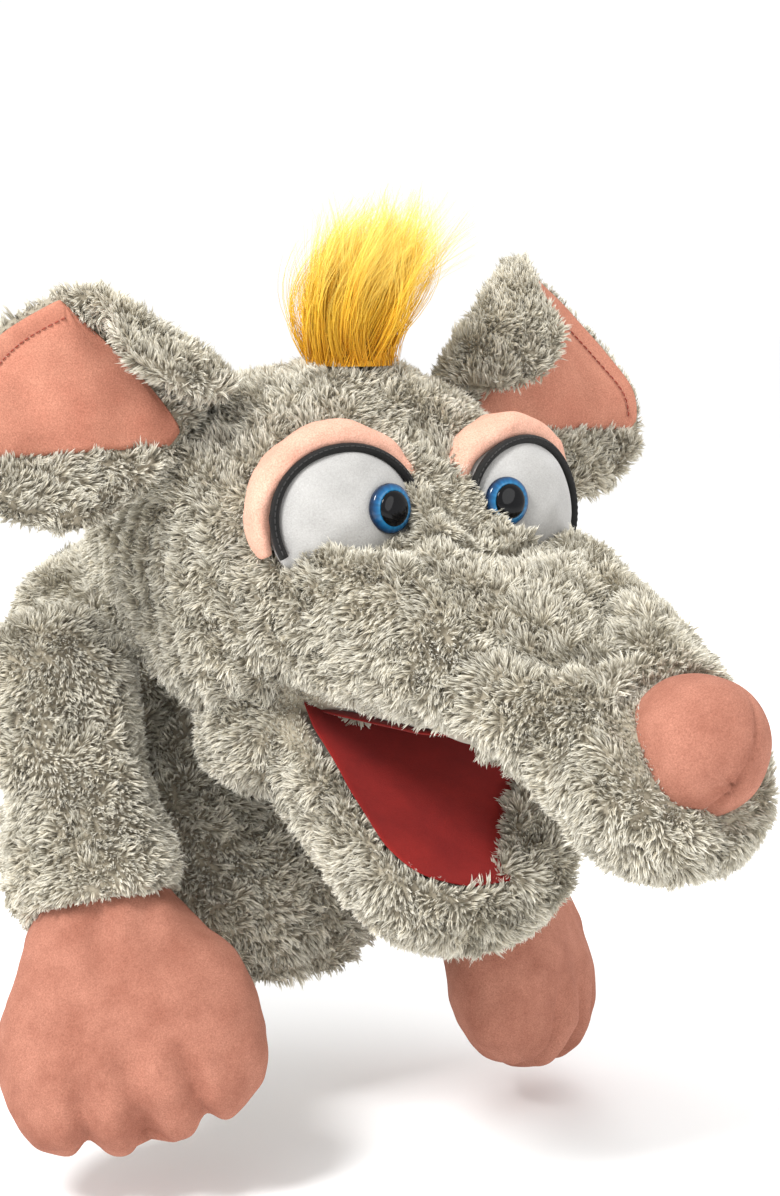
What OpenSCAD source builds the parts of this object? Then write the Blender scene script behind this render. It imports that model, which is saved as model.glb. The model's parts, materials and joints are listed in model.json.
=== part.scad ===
// Plush hand puppet: a long-nosed rat with a hand-operated mouth.
// The puppet faces -Y and its left is +X. The origin is the centre of the mouth of the arm sleeve.

/* [Torso] */
// Half-width of the torso at its widest
torso_half_width = 79; // [74:1:80]
// Height of the flat top of the torso, where the neck sits
torso_top = 136; // [132:1:137]
// How far the hem hangs lower at the front than at the back
hem_drop = 38; // [10:1:50]
// Height of the sewn hem band
hem_height = 14; // [8:1:20]
// Inner radius of the sleeve that the forearm goes in
sleeve_r = 46; // [42:0.5:48]
// Length of the sleeve
sleeve_length = 84; // [76:1:86]

/* [Neck] */
// Outer radius of the ball-shaped neck
neck_r = 61; // [56:0.5:62]

/* [Head] */
// Half-width of the head at its widest
head_half_width = 84; // [76:1:86]
// Half-width of the middle of the snout
snout_half_width = 60; // [52:1:62]
// Radius of the nose ball
nose_r = 26.5; // [22:0.5:28]
// Height of the hair tuft
hair_height = 72; // [40:1:90]

/* [Jaw] */
// Length of the lower jaw from its hinge line
jaw_length = 104; // [98:1:108]
// Half-width of the lower jaw at the hinge
jaw_half_width = 56; // [48:1:58]
// How far the jaw hangs open at rest, in degrees
jaw_rest = 37; // [30:1:38]

/* [Eyes] */
// Radius of the padded white of the eye, seen from the front
eye_r = 30.5; // [27:0.5:31]
// Half-depth of the padded white
eye_depth = 19; // [16:0.5:22]
// Thickness of the padded eyelid
lid_thickness = 8.5; // [6:0.5:9]
// Diameter of the plastic iris
iris_d = 20; // [16:1:22]
// Diameter of the pupil
pupil_d = 12; // [8:0.5:13]

/* [Ears] */
// Size of the ear compared with its drawn outline
ear_scale = 1; // [0.8:0.02:1.04]
// Thickness of the plush back of the ear
ear_thickness = 6; // [4:0.5:7]
// How far the outer edge of the ear curls forward
ear_cup = 12; // [0:1:16]
// Radius that the inner edge of the ear is rolled forward to
ear_roll_r = 14; // [12:0.5:15]

/* [Arms and paws] */
// Radius of the arm
arm_r = 31; // [26:1:33]
// Length of the arm from shoulder to cuff
arm_length = 98; // [80:1:104]
// How far the right arm leans forward, in degrees
right_arm_lean = 26; // [22:1:30]
// How far the left arm leans forward, in degrees
left_arm_lean = 18; // [16:1:30]
// Half-width of the paw
paw_half_width = 55; // [46:1:56]
// Half-thickness of the paw
paw_half_thickness = 29; // [22:1:31]
// Length of the paw
paw_length = 96; // [80:1:100]

/* [Cloth and boards] */
// Thickness of the plush cloth
cloth = 3; // [2:0.5:4]
// Thickness of the velour cloth
velour = 2; // [1:0.25:3]
// Thickness of the lining cloth
lining = 1.5; // [1:0.25:2]
// Thickness of the stiff plates in the mouth
board = 2; // [1.5:0.25:3]

/* [Hidden] */
$fn = 64;
gap = 0.3;
ring_points = 28;
far = 400;
exponent_up = 2.15;
exponent_down = 2.5;

neck_centre = [0, -34, 155];
hinge = [0, -166, 100];
palate_z = 103;
nose_centre = [0, -343, 109];
hair_root = [0, -126, 239];
eye_centre = [43, -181, 181];
eye_yaw = 10;
eye_pitch = -6;
iris_aim = [-14, 2];
iris_shift = [-12.5, 1.5, -2];
ear_origin = [70, -108, 227];
ear_fold_line = [46, 16, 44];
ear_faces = [0.25, -0.93, 0.2];
shoulder = [104, -58, 106];
arm_splay = 2;
arm_inner_x = 81;
wrist_below_cuff = 20;
paw_turn = 34;
hem_back = 84;
hem_span = 164;
neck_floor_z = torso_top + 1;
neck_opening_r = 45;

grey = [0.70, 0.68, 0.61];
pink = [0.89, 0.57, 0.48];
red = [0.47, 0.15, 0.13];
fleece_white = [0.93, 0.93, 0.91];
wadding = [0.94, 0.94, 0.92];
board_grey = [0.55, 0.55, 0.53];
lining_grey = [0.45, 0.44, 0.42];
gold = [0.88, 0.70, 0.25];
black = [0.07, 0.07, 0.08];
blue = [0.15, 0.35, 0.62];

// Stations of a loft are [distance, centre, half-width, reach up, reach down].
torso_stations = [
    [0, 0, torso_half_width - 1, 84, 80],
    [30, 0, torso_half_width, 87, 79],
    [60, 0, torso_half_width, 88, 72],
    [90, 0, torso_half_width, 88, 55],
    [114, 0, torso_half_width - 3, 84, 42],
    [torso_top, 0, torso_half_width - 17, 68, 32]
];

head_stations = [
    [34, 168, 34, 32, 14],
    [46, 166, head_half_width - 21, 54, 30],
    [62, 162, head_half_width - 9, 68, 48],
    [90, 160, head_half_width - 2, 75, 73],
    [118, 160, head_half_width, 78, 79],
    [146, 157, head_half_width - 4, 75, 65],
    [172, 152, head_half_width - 12, 60, 48],
    [205, 146, snout_half_width + 6, 48, 43],
    [235, 138, snout_half_width, 41, 35],
    [265, 127, snout_half_width - 8, 36, 28],
    [290, 115, snout_half_width - 15, 33, 31],
    [314, 103, snout_half_width - 20, 33, 40],
    [338, 96, snout_half_width - 24, 29, 35],
    [353, 93, snout_half_width - 34, 20, 25],
    [361, 93, 9, 8, 9]
];

jaw_stations = [
    [1, -8, jaw_half_width, 7, 48],
    [24, -8, jaw_half_width, 7, 47],
    [48, -8, jaw_half_width - 2, 7, 43],
    [jaw_length - 33, -8, jaw_half_width - 6, 7, 41],
    [jaw_length - 17, -9, jaw_half_width - 13, 8, 36],
    [jaw_length - 6, -12, jaw_half_width - 24, 9, 24],
    [jaw_length, -14, 14, 5, 8]
];

paw_stations = [
    [-15, 0, 16, 11, 11],
    [-9, 0, 27, 18, 18],
    [4, 0, 41, 24, 24],
    [20, 0, paw_half_width - 3, paw_half_thickness - 2, paw_half_thickness - 2],
    [42, 0, paw_half_width, paw_half_thickness, paw_half_thickness],
    [62, 0, paw_half_width - 6, paw_half_thickness - 3, paw_half_thickness - 3],
    [paw_length - 22, 0, paw_half_width - 18, paw_half_thickness - 10, paw_half_thickness - 10],
    [paw_length - 16, 0, 14, 8, 8]
];

// A smooth curve through p1 and p2, from 0 to 1.
function through(p0, p1, p2, p3, t) =
    0.5 * (2 * p1 + (p2 - p0) * t + (2 * p0 - 5 * p1 + 4 * p2 - p3) * t * t
    + (3 * p1 - p0 - 3 * p2 + p3) * t * t * t);

function clamped(list, i) = list[max(0, min(len(list) - 1, i))];

// Every station, with steps - 1 new ones between each two.
function refined(list, steps) = [
    for (i = [0 : (len(list) - 1) * steps])
        let (k = floor(i / steps))
        through(clamped(list, k - 1), clamped(list, k), clamped(list, k + 1), clamped(list, k + 2),
            i / steps - k)
];

// The stations of the same shape, grown on every side.
function grown(list, g) = [
    for (i = [0 : len(list) - 1])
        let (s = list[i], end = (i == len(list) - 1 ? 1 : 0) - (i == 0 ? 1 : 0))
        [s[0] + end * g, s[1], s[2] + g, s[3] + g, s[4] + g]
];

function signed_power(v, e) = sign(v) * pow(abs(v), e);

// One ring of a loft. A drop tilts the ring, so that its front hangs lower than its back.
function ring(s, drop) = [
    for (i = [0 : ring_points - 1])
        let (
            a = 360 * (i + 0.5) / ring_points,
            e = sin(a) > 0 ? exponent_up : exponent_down,
            v = signed_power(sin(a), 2 / e),
            y = s[1] + (v > 0 ? s[3] : s[4]) * v
        )
        [s[2] * signed_power(cos(a), 2 / e), y, s[0] - drop * (hem_back - y) / hem_span]
];

// A closed solid through the stations, running along +Z.
module loft(stations, steps = 2, drop = 0) {
    n = ring_points;
    rings = refined(stations, steps);
    last = len(rings) - 1;
    top = rings[last][0];
    polyhedron(
        points = [for (r = rings) each ring(r, drop * max(0, 1 - r[0] / top))],
        faces = [
            [for (i = [0 : n - 1]) i],
            for (k = [0 : last - 1], i = [0 : n - 1])
                [k * n + i, (k + 1) * n + i, (k + 1) * n + (i + 1) % n, k * n + (i + 1) % n],
            [for (i = [n - 1 : -1 : 0]) last * n + i]
        ]
    );
}

// Turns a shape made along +Z, with its top at +Y, so that it runs forward along -Y.
module forward() {
    rotate([90, 0, 0]) children();
}

// Draws the left-hand part, or its mirror image on the right.
module on_side(side) {
    if (side > 0) {
        children();
    } else {
        mirror([1, 0, 0]) children();
    }
}

// A block that fills everything above z.
module above(z) {
    translate([-far / 2, -far, z]) cube([far, 2 * far, far]);
}

// A block that fills everything below z.
module below(z) {
    translate([-far / 2, -far, z - far]) cube([far, 2 * far, far]);
}

// ---- Torso ----

module torso_form(g) {
    loft(grown(torso_stations, g), 2, hem_drop);
}

module body_skin() color(grey) difference() {
    torso_form(0);
    torso_form(-cloth);
    translate([0, 0, torso_top - 8]) cylinder(h = 20, r = sleeve_r + lining + gap);
    translate([0, 0, -far]) cylinder(h = far + 60, r = sleeve_r + 6);
}

module body_padding() color(wadding) difference() {
    torso_form(-cloth - gap);
    translate([0, 0, -far / 2]) cylinder(h = far, r = sleeve_r + lining + gap);
    difference() {
        below(hem_height);
        torso_form(-2 * cloth - 2 * gap);
    }
}

module sleeve_lining() color(lining_grey) difference() {
    cylinder(h = sleeve_length, r = sleeve_r + lining);
    translate([0, 0, -1]) cylinder(h = sleeve_length + 2, r = sleeve_r);
}

// The hem is turned up inside the skirt, and its cloth goes on across to the mouth of the sleeve.
module hem_band() color(grey) difference() {
    torso_form(-cloth - gap);
    torso_form(-2 * cloth - gap);
    above(hem_height - gap);
    translate([0, 0, -far / 2]) cylinder(h = far, r = sleeve_r + lining + gap);
}

// ---- Neck ----

module neck_shell(outer_r, thickness) {
    difference() {
        translate(neck_centre) sphere(r = outer_r);
        translate(neck_centre) sphere(r = outer_r - thickness);
        below(neck_floor_z);
        translate(neck_centre) forward() cylinder(h = far / 2, r = neck_opening_r);
    }
}

module neck_skin() color(grey) neck_shell(neck_r, cloth);

module neck_lining() color(lining_grey) neck_shell(neck_r - cloth - gap, lining + 1);

// ---- Head ----

// Distances along the head of the split between the two stuffings and of the fingertips.
snout_split = 212;
fingertips = 246;
pocket_start = 112;
pocket_half_width = 37;
pocket_floor = palate_z + 4;
pocket_height = 26;
board_start = 172;
board_end = 258;
board_half_width = 40;

module head_form(g) {
    forward() loft(grown(head_stations, g));
}

// The stiff plates share one outline: straight sides and a round front.
module mouth_outline(start, end, half_width, front_half_width) {
    hull() {
        translate([-half_width, start]) square([2 * half_width, 1]);
        translate([0, end - front_half_width]) circle(r = front_half_width, $fn = 32);
    }
}

module palate_sheet(bottom, top, g) {
    translate([0, 0, bottom]) mirror([0, 1, 0]) linear_extrude(top - bottom)
        mouth_outline(board_start - g, board_end + g, board_half_width + g, 28 + g);
}

// The space that the neck and the hand take up inside the head.
module hand_room() {
    translate(neck_centre) sphere(r = neck_r + 1);
    translate([-40, -pocket_start - 40, 96]) cube([80, 90, 46]);
}

// Room for the pads and the lids, and a clear view of each pad from the front.
module eye_sockets() {
    for (side = [-1, 1]) on_side(side) at_eye() {
        eye_form(eye_r + gap, eye_depth + gap);
        lid_form(lid_thickness + gap, 0, gap);
        translate([0, eye_window_rise, 0]) cylinder(h = far, r = eye_window_r);
        piping_form(piping_r + gap);
    }
}

// The red sheet and its board lie in a shallow bed under the snout.
module palate_bed() {
    palate_sheet(palate_z - far / 4, palate_z + lining + board + gap, gap);
}

module head_skin() color(grey) difference() {
    head_form(0);
    head_form(-cloth);
    translate(neck_centre) sphere(r = neck_r + 1);
    palate_bed();
    finger_pocket_form(gap);
    eye_sockets();
    translate(nose_centre) sphere(r = nose_r + gap);
    translate(hair_root + [0, 0, -1]) cylinder(h = 30, r = hair_base_r + gap);
}

module stuffing_space() {
    difference() {
        head_form(-cloth - gap);
        hand_room();
        finger_pocket_form(gap);
        palate_bed();
        eye_sockets();
        translate(nose_centre) sphere(r = nose_r + gap);
        translate(hair_root + [0, 0, -cloth]) cylinder(h = 30, r = hair_base_r + gap);
    }
}

module head_stuffing() color(wadding) difference() {
    stuffing_space();
    translate([-far / 2, -snout_split - far, 0]) cube([far, far, far]);
}

module snout_stuffing() color(wadding) intersection() {
    stuffing_space();
    translate([-far / 2, -snout_split - gap - far, 0]) cube([far, far, far]);
}

module finger_pocket_form(g) {
    size = [2 * (pocket_half_width + g), fingertips - pocket_start + 2 * g, pocket_height + 2 * g];
    translate([-size[0] / 2, -fingertips - g, pocket_floor - g]) cube(size);
}

module finger_pocket() color(lining_grey) difference() {
    finger_pocket_form(0);
    finger_pocket_form(-lining);
    translate([0, 10, 0]) finger_pocket_form(-lining);
}

module palate_board() color(board_grey)
    palate_sheet(palate_z + lining + gap / 2, palate_z + lining + board, 0);

module palate_lining() color(red) palate_sheet(palate_z, palate_z + lining, 0);

module nose_skin() color(pink) translate(nose_centre) difference() {
    sphere(r = nose_r);
    sphere(r = nose_r - velour);
}

module nose_stuffing() color(wadding) translate(nose_centre) sphere(r = nose_r - velour - gap);

// ---- Hair ----

hair_base_r = 18;
hair_top_r = 32;
backing_thickness = 2;

module hair_backing() color(gold)
    translate(hair_root) cylinder(h = backing_thickness, r = hair_base_r);

module hair_tuft() color(gold) translate(hair_root + [0, 0, backing_thickness + gap])
    cylinder(h = hair_height, r1 = hair_base_r - 3, r2 = hair_top_r);

// ---- Eyes ----

stem_r = 3;
stem_length = 13;
iris_height = 4;
pupil_height = 2.5;
washer_r = 8;
washer_thickness = 2;
piping_r = 1.7;
lid_front = 5;
lid_back = -14;
lid_slant = -26;
lid_low_edge = -4;
eye_window_r = 28;
eye_window_rise = 3;

// The frame of the left eye: +Z looks out of the eye and +Y is up.
module at_eye() {
    translate(eye_centre) rotate([0, 0, eye_yaw]) rotate([eye_pitch, 0, 0]) forward() children();
}

// A round pad, flatter from front to back than it is wide.
module eye_form(r, depth) {
    rotate_extrude() polygon([for (a = [-90 : 10 : 90]) [r * cos(a), depth * sin(a)]]);
}

// Everything above the slanting line that the lid and its piping end at.
module above_lid_line(g) {
    rotate([0, 0, lid_slant]) translate([-far / 2, lid_low_edge - g, -far / 2]) cube(far);
}

// The padded arch round the top of the pad, flat at the front.
module lid_form(outer, inner, g) {
    intersection() {
        difference() {
            eye_form(eye_r + outer, eye_depth + outer);
            if (inner > 0) eye_form(eye_r + inner, eye_depth + inner);
            translate([0, 0, lid_front + g]) cylinder(h = far, r = far / 2);
            translate([0, 0, lid_back - g - far]) cylinder(h = far, r = far / 2);
        }
        above_lid_line(g);
    }
}

// The cord in front of the lid, close round the pad.
module piping_form(r) {
    intersection() {
        translate([0, 0, lid_front + piping_r + gap]) rotate_extrude()
            translate([eye_r + piping_r - 0.6, 0]) circle(r = r, $fn = 16);
        above_lid_line(r - piping_r);
    }
}

// The line on the front of the pad where the iris sits.
module at_iris() {
    translate(iris_shift) rotate([iris_aim[1], iris_aim[0], 0]) translate([0, 0, iris_seat]) children();
}

iris_seat = eye_depth - 0.6;

module iris_body(g) {
    translate([0, 0, -stem_length]) cylinder(h = stem_length + 1, r = stem_r + g);
    cylinder(h = iris_height / 2, r = iris_d / 2 + g);
}

module eye_pad() color(fleece_white) at_eye() difference() {
    eye_form(eye_r, eye_depth);
    at_iris() iris_body(gap);
    at_iris() translate([0, 0, -1]) cylinder(h = 20, r = iris_d / 2 + gap);
    at_iris() translate([0, 0, -10 - gap]) cylinder(h = washer_thickness + 2 * gap, r = washer_r + gap);
}

// The domed disc has a shallow bed for the pupil.
module eye_iris() color(blue) at_eye() at_iris() difference() {
    union() {
        iris_body(0);
        translate([0, 0, iris_height / 2]) cylinder(h = iris_height / 2, r1 = iris_d / 2, r2 = iris_d / 2 - 2);
    }
    translate([0, 0, iris_height - 1]) cylinder(h = 5, r = pupil_d / 2 + gap / 2);
}

module eye_pupil() color(black) at_eye() at_iris() translate([0, 0, iris_height - 1])
    cylinder(h = pupil_height, r1 = pupil_d / 2, r2 = pupil_d / 2 - 1.5);

module eye_washer() color(black) at_eye() at_iris() translate([0, 0, -10]) difference() {
    cylinder(h = washer_thickness, r = washer_r);
    translate([0, 0, -1]) cylinder(h = 5, r = stem_r + 0.1);
}

module eyelid() color(pink) at_eye() lid_form(lid_thickness, gap, 0);

module lid_piping() color(black) at_eye() piping_form(piping_r);

// ---- Jaw ----

jaw_board_start = 6;
jaw_board_end = jaw_length - 16;
jaw_board_half_width = jaw_half_width - 13;
thumb_half_width = 19;
thumb_start = 2;
thumb_end = 84;
thumb_top = -lining - board - 2;
thumb_height = 25;

// The frame of the jaw: +Z runs forward along the jaw and +Y is up.
module at_jaw() {
    translate(hinge) rotate([jaw_rest, 0, 0]) forward() children();
}

module jaw_sheet(bottom, top, g) {
    rotate([-90, 0, 0]) translate([0, 0, bottom]) mirror([0, 1, 0]) linear_extrude(top - bottom)
        mouth_outline(jaw_board_start - g, jaw_board_end + g, jaw_board_half_width + g, 20 + g);
}

// The red sheet and its board lie in a shallow bed on top of the jaw.
module jaw_bed() {
    jaw_sheet(-lining - board - gap, 20, gap);
}

module thumb_pocket_form(g) {
    translate([-thumb_half_width - g, thumb_top - thumb_height - g, thumb_start - g])
        cube([2 * (thumb_half_width + g), thumb_height + 2 * g, thumb_end - thumb_start + 2 * g]);
}

module jaw_skin() color(grey) at_jaw() difference() {
    loft(jaw_stations);
    loft(grown(jaw_stations, -cloth));
    jaw_bed();
    translate([0, 0, -20]) thumb_pocket_form(gap);
}

module jaw_stuffing() color(wadding) at_jaw() difference() {
    loft(grown(jaw_stations, -cloth - gap));
    jaw_bed();
    thumb_pocket_form(gap);
    translate([0, 0, -20]) thumb_pocket_form(gap);
}

module thumb_pocket() color(lining_grey) at_jaw() difference() {
    thumb_pocket_form(0);
    thumb_pocket_form(-lining);
    translate([0, 0, -10]) thumb_pocket_form(-lining);
}

module jaw_board() color(board_grey) at_jaw() jaw_sheet(-lining - board, -lining - gap / 2, 0);

module mouth_floor_lining() color(red) at_jaw() jaw_sheet(-lining, 0, 0);

// ---- Ears ----

ear_rows = 5;
ear_roll_turn = 150;

// The flat cloth of an ear. Each line is a place across the ear, from the rolled inner edge to the
// outer edge, with its lowest and highest point along the fold line.
ear_pattern = [
    [-52, 8, 20],
    [-40, -8, 38],
    [-20, -12, 60],
    [0, -11, 74],
    [25, -11, 81],
    [50, -8, 80],
    [73, 2, 74],
    [86, 20, 60],
    [90, 34, 46]
];

function unit(v) = v / norm(v);

ear_up = unit(ear_fold_line);
ear_out = unit(cross(ear_up, ear_faces));
ear_front = unit(cross(ear_out, ear_up));

// The pattern of the lining: cut smaller by a margin, and ending inside the rolled edge.
function lining_pattern(margin) = [
    for (s = ear_pattern)
        if (s[0] > -2 * ear_roll_r)
            [s[0] * (1 - margin / 60), s[1] + margin, s[2] - margin]
];

// A point of the rolled ear: across and along its cloth, and how high above its back.
function ear_point(across, along, height) =
    let (
        turn = min(max(0, -across) / ear_roll_r * 180 / PI, ear_roll_turn),
        rest = max(0, -across - ear_roll_r * ear_roll_turn * PI / 180),
        r = ear_roll_r - height,
        sideways = max(0, across) - r * sin(turn) - rest * cos(turn),
        forward = ear_roll_r - r * cos(turn) + rest * sin(turn) + ear_cup * pow(max(0, across) / 86, 2)
    )
    ear_origin + ear_scale * (sideways * ear_out + forward * ear_front + along * ear_up);

// A closed leaf between two heights above the back of the ear.
module ear_leaf(pattern, low, high) {
    columns = refined(pattern, 2);
    n = len(columns);
    m = ear_rows + 1;
    back = n * m;
    polyhedron(
        points = [
            for (h = [low, high], c = columns, k = [0 : ear_rows])
                ear_point(c[0], c[1] + (c[2] - c[1]) * k / ear_rows, h)
        ],
        faces = [
            for (i = [0 : n - 2], k = [0 : ear_rows - 1])
                [i * m + k, i * m + k + 1, (i + 1) * m + k + 1, (i + 1) * m + k],
            for (i = [0 : n - 2], k = [0 : ear_rows - 1])
                [back + i * m + k, back + (i + 1) * m + k, back + (i + 1) * m + k + 1, back + i * m + k + 1],
            for (i = [0 : n - 2])
                [i * m, (i + 1) * m, back + (i + 1) * m, back + i * m],
            for (i = [0 : n - 2])
                let (a = i * m + ear_rows, b = (i + 1) * m + ear_rows)
                [a, back + a, back + b, b],
            for (k = [0 : ear_rows - 1])
                [k, back + k, back + k + 1, k + 1],
            for (k = [0 : ear_rows - 1])
                let (a = (n - 1) * m + k)
                [a, a + 1, back + a + 1, back + a]
        ]
    );
}

module ear_back() color(grey) difference() {
    ear_leaf(ear_pattern, 0, ear_thickness);
    head_form(3);
}

module ear_lining() color(pink) difference() {
    ear_leaf(lining_pattern(6), ear_thickness + 2 * gap, ear_thickness + 2 * gap + lining);
    head_form(3.5);
}

// ---- Arms and paws ----

// The frame of the left arm: -Z runs from the shoulder to the cuff.
module at_arm(lean) {
    translate(shoulder) rotate([-lean, -arm_splay, 0]) children();
}

// A round sleeve with a domed shoulder, cut flat where it lies against the torso.
module arm_form(g, lean) {
    r = arm_r + g;
    intersection() {
        at_arm(lean) rotate_extrude() polygon([
            for (a = [0 : 15 : 90]) [r * cos(a), (r - 2) * sin(a)],
            [0, -arm_length],
            [r - 1, -arm_length],
            [r + 1, -arm_length + 12],
            [r + 1, -arm_length / 2]
        ]);
        translate([arm_inner_x - g, -far, -far]) cube([far, 2 * far, 2 * far]);
    }
}

module arm_skin(lean) color(grey) difference() {
    arm_form(0, lean);
    arm_form(-cloth, lean);
}

module arm_stuffing(lean) color(wadding) difference() {
    arm_form(-cloth - gap, lean);
    at_arm(lean) translate([0, 0, -arm_length - 1]) cylinder(h = 4, r = arm_r);
}

// The frame of the left paw: +Z runs from the wrist to the fingertips and X is across the palm.
module at_paw(lean) {
    at_arm(lean) translate([0, 0, -arm_length - wrist_below_cuff]) rotate([180, 0, paw_turn]) children();
}

module paw_skin(lean) color(pink) at_paw(lean) difference() {
    loft(paw_stations, 1);
    loft(grown(paw_stations, -velour), 1);
}

module paw_stuffing(lean) color(wadding) at_paw(lean) loft(grown(paw_stations, -velour - gap), 1);

// ---- Assembly ----

body_skin();
body_padding();
sleeve_lining();
hem_band();
neck_skin();
neck_lining();
head_skin();
head_stuffing();
snout_stuffing();
finger_pocket();
palate_board();
palate_lining();
nose_skin();
nose_stuffing();
hair_backing();
hair_tuft();
on_side(-1) eye_pad();  // right_eye_pad
on_side(-1) eye_iris();  // right_eye_iris
on_side(-1) eye_pupil();  // right_eye_pupil
on_side(-1) eye_washer();  // right_eye_washer
on_side(-1) eyelid();  // right_eyelid
on_side(-1) lid_piping();  // right_lid_piping
on_side(1) eye_pad();  // left_eye_pad
on_side(1) eye_iris();  // left_eye_iris
on_side(1) eye_pupil();  // left_eye_pupil
on_side(1) eye_washer();  // left_eye_washer
on_side(1) eyelid();  // left_eyelid
on_side(1) lid_piping();  // left_lid_piping
jaw_skin();
jaw_stuffing();
thumb_pocket();
jaw_board();
mouth_floor_lining();
on_side(-1) ear_back();  // right_ear_back
on_side(-1) ear_lining();  // right_ear_lining
on_side(1) ear_back();  // left_ear_back
on_side(1) ear_lining();  // left_ear_lining
on_side(-1) arm_skin(right_arm_lean);  // right_arm_skin
on_side(-1) arm_stuffing(right_arm_lean);  // right_arm_stuffing
on_side(1) arm_skin(left_arm_lean);  // left_arm_skin
on_side(1) arm_stuffing(left_arm_lean);  // left_arm_stuffing
on_side(-1) paw_skin(right_arm_lean);  // right_paw_skin
on_side(-1) paw_stuffing(right_arm_lean);  // right_paw_stuffing
on_side(1) paw_skin(left_arm_lean);  // left_paw_skin
on_side(1) paw_stuffing(left_arm_lean);  // left_paw_stuffing
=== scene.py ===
"""The plush rat hand puppet: its looks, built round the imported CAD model.

Everything is in metres in the row frame: the puppet faces -Y, its left is +X and Z is up. The soft
pieces are built as smooth forms in their CAD solids' places, and a pile of short mesh strands,
gathered into locks, grows from each plush piece.
"""

import json
import math

import bpy
import numpy as np
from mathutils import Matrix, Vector
from mathutils.bvhtree import BVHTree


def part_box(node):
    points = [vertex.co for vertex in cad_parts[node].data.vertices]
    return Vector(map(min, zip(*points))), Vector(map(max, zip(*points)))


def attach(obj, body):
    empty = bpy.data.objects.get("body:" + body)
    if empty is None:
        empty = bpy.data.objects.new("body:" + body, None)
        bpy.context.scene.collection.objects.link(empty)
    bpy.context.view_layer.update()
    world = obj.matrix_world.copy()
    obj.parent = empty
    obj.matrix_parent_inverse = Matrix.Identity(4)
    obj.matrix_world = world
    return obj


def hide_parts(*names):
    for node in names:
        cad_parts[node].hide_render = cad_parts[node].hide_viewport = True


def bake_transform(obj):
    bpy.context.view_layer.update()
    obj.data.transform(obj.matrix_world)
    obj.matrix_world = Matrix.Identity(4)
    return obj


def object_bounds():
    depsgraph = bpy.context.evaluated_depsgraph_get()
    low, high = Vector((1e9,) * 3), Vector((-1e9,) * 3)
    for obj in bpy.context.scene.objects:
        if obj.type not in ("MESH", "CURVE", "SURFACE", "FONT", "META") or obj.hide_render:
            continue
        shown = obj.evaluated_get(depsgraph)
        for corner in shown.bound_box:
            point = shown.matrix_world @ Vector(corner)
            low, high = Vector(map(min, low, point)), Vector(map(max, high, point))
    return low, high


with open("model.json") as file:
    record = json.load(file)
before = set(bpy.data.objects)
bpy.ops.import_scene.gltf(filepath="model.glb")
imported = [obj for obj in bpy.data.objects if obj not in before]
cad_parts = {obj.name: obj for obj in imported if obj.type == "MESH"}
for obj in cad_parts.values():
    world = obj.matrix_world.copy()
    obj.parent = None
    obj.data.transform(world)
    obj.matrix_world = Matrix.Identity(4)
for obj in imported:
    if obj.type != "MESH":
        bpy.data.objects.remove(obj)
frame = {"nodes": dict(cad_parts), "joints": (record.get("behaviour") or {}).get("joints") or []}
CAD_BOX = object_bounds()
MM = 0.001
SIDE_NAMES = {-1: "right", 1: "left"}
JOINTS = {j["name"]: np.array(j["pos_m"]) for j in frame["joints"]}

HINGE = JOINTS["jaw_open"]
NECK = JOINTS["head_nod"]
SHOULDER = JOINTS["left_arm_swing"]
EAR_ROOT = JOINTS["left_ear_flop"]
JAW_REST = math.radians(37)


# ---- Numbers and vectors ----


def unit(v):
    v = np.asarray(v, float)
    return v / np.maximum(np.linalg.norm(v, axis=-1, keepdims=True), 1e-12)


def smoothstep(x, low, high):
    t = np.clip((x - low) / (high - low), 0, 1)
    return t * t * (3 - 2 * t)


def rotation(axis, angle):
    """The matrix that turns by an angle about X, Y or Z, given as 0, 1 or 2."""
    c, s = math.cos(angle), math.sin(angle)
    return np.roll([[1, 0, 0], [0, c, -s], [0, s, c]], (axis, axis), (0, 1))


def polar(radius, angle, z):
    """Points at a radius and an angle round Z."""
    return np.stack(np.broadcast_arrays(radius * np.cos(angle), radius * np.sin(angle), z), -1)


class Waves:
    """A smooth field of numbers in space, about -1 to 1, with features of about one size."""

    def __init__(self, size, seed, count=14):
        rng = np.random.default_rng(seed)
        self.k = unit(rng.normal(size=(count, 3))) * rng.uniform(0.6, 1.5, (count, 1))
        self.k *= 2 * math.pi / size
        self.phase = rng.uniform(0, 2 * math.pi, count)
        self.scale = 1.6 / math.sqrt(count)

    def __call__(self, p):
        return np.sin(p @ self.k.T + self.phase).sum(1) * self.scale


def wave_vectors(p, size, seed):
    return np.stack([Waves(size, seed + i)(p) for i in range(3)], 1)


# ---- Meshes ----


def linked(name, data):
    """A new object of the data, in the scene."""
    ob = bpy.data.objects.new(name, data)
    bpy.context.scene.collection.objects.link(ob)
    return ob


def new_object(name, verts, faces):
    mesh = bpy.data.meshes.new(name)
    mesh.from_pydata([tuple(v) for v in verts], [], [tuple(f) for f in faces])
    mesh.validate()
    mesh.update()
    mesh.polygons.foreach_set("use_smooth", [True] * len(mesh.polygons))
    return linked(name, mesh)


def add_attributes(mesh, values_of):
    for label, values in values_of.items():
        at = mesh.attributes.new(label, "FLOAT", "POINT")
        at.data.foreach_set("value", np.asarray(values, np.float32))


def array_object(name, verts, faces, values_of):
    """An object straight from arrays: faces has one row of vertex numbers for each face."""
    mesh = bpy.data.meshes.new(name)
    verts = verts.reshape(-1, 3)
    mesh.vertices.add(len(verts))
    mesh.vertices.foreach_set("co", verts.astype(np.float32).ravel())
    mesh.loops.add(faces.size)
    mesh.loops.foreach_set("vertex_index", faces.astype(np.int32).ravel())
    mesh.polygons.add(len(faces))
    mesh.polygons.foreach_set("loop_start", np.arange(0, faces.size, faces.shape[1], dtype=np.int32))
    mesh.update(calc_edges=True)
    mesh.polygons.foreach_set("use_smooth", np.ones(len(faces), bool))
    add_attributes(mesh, values_of)
    return linked(name, mesh)


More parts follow.
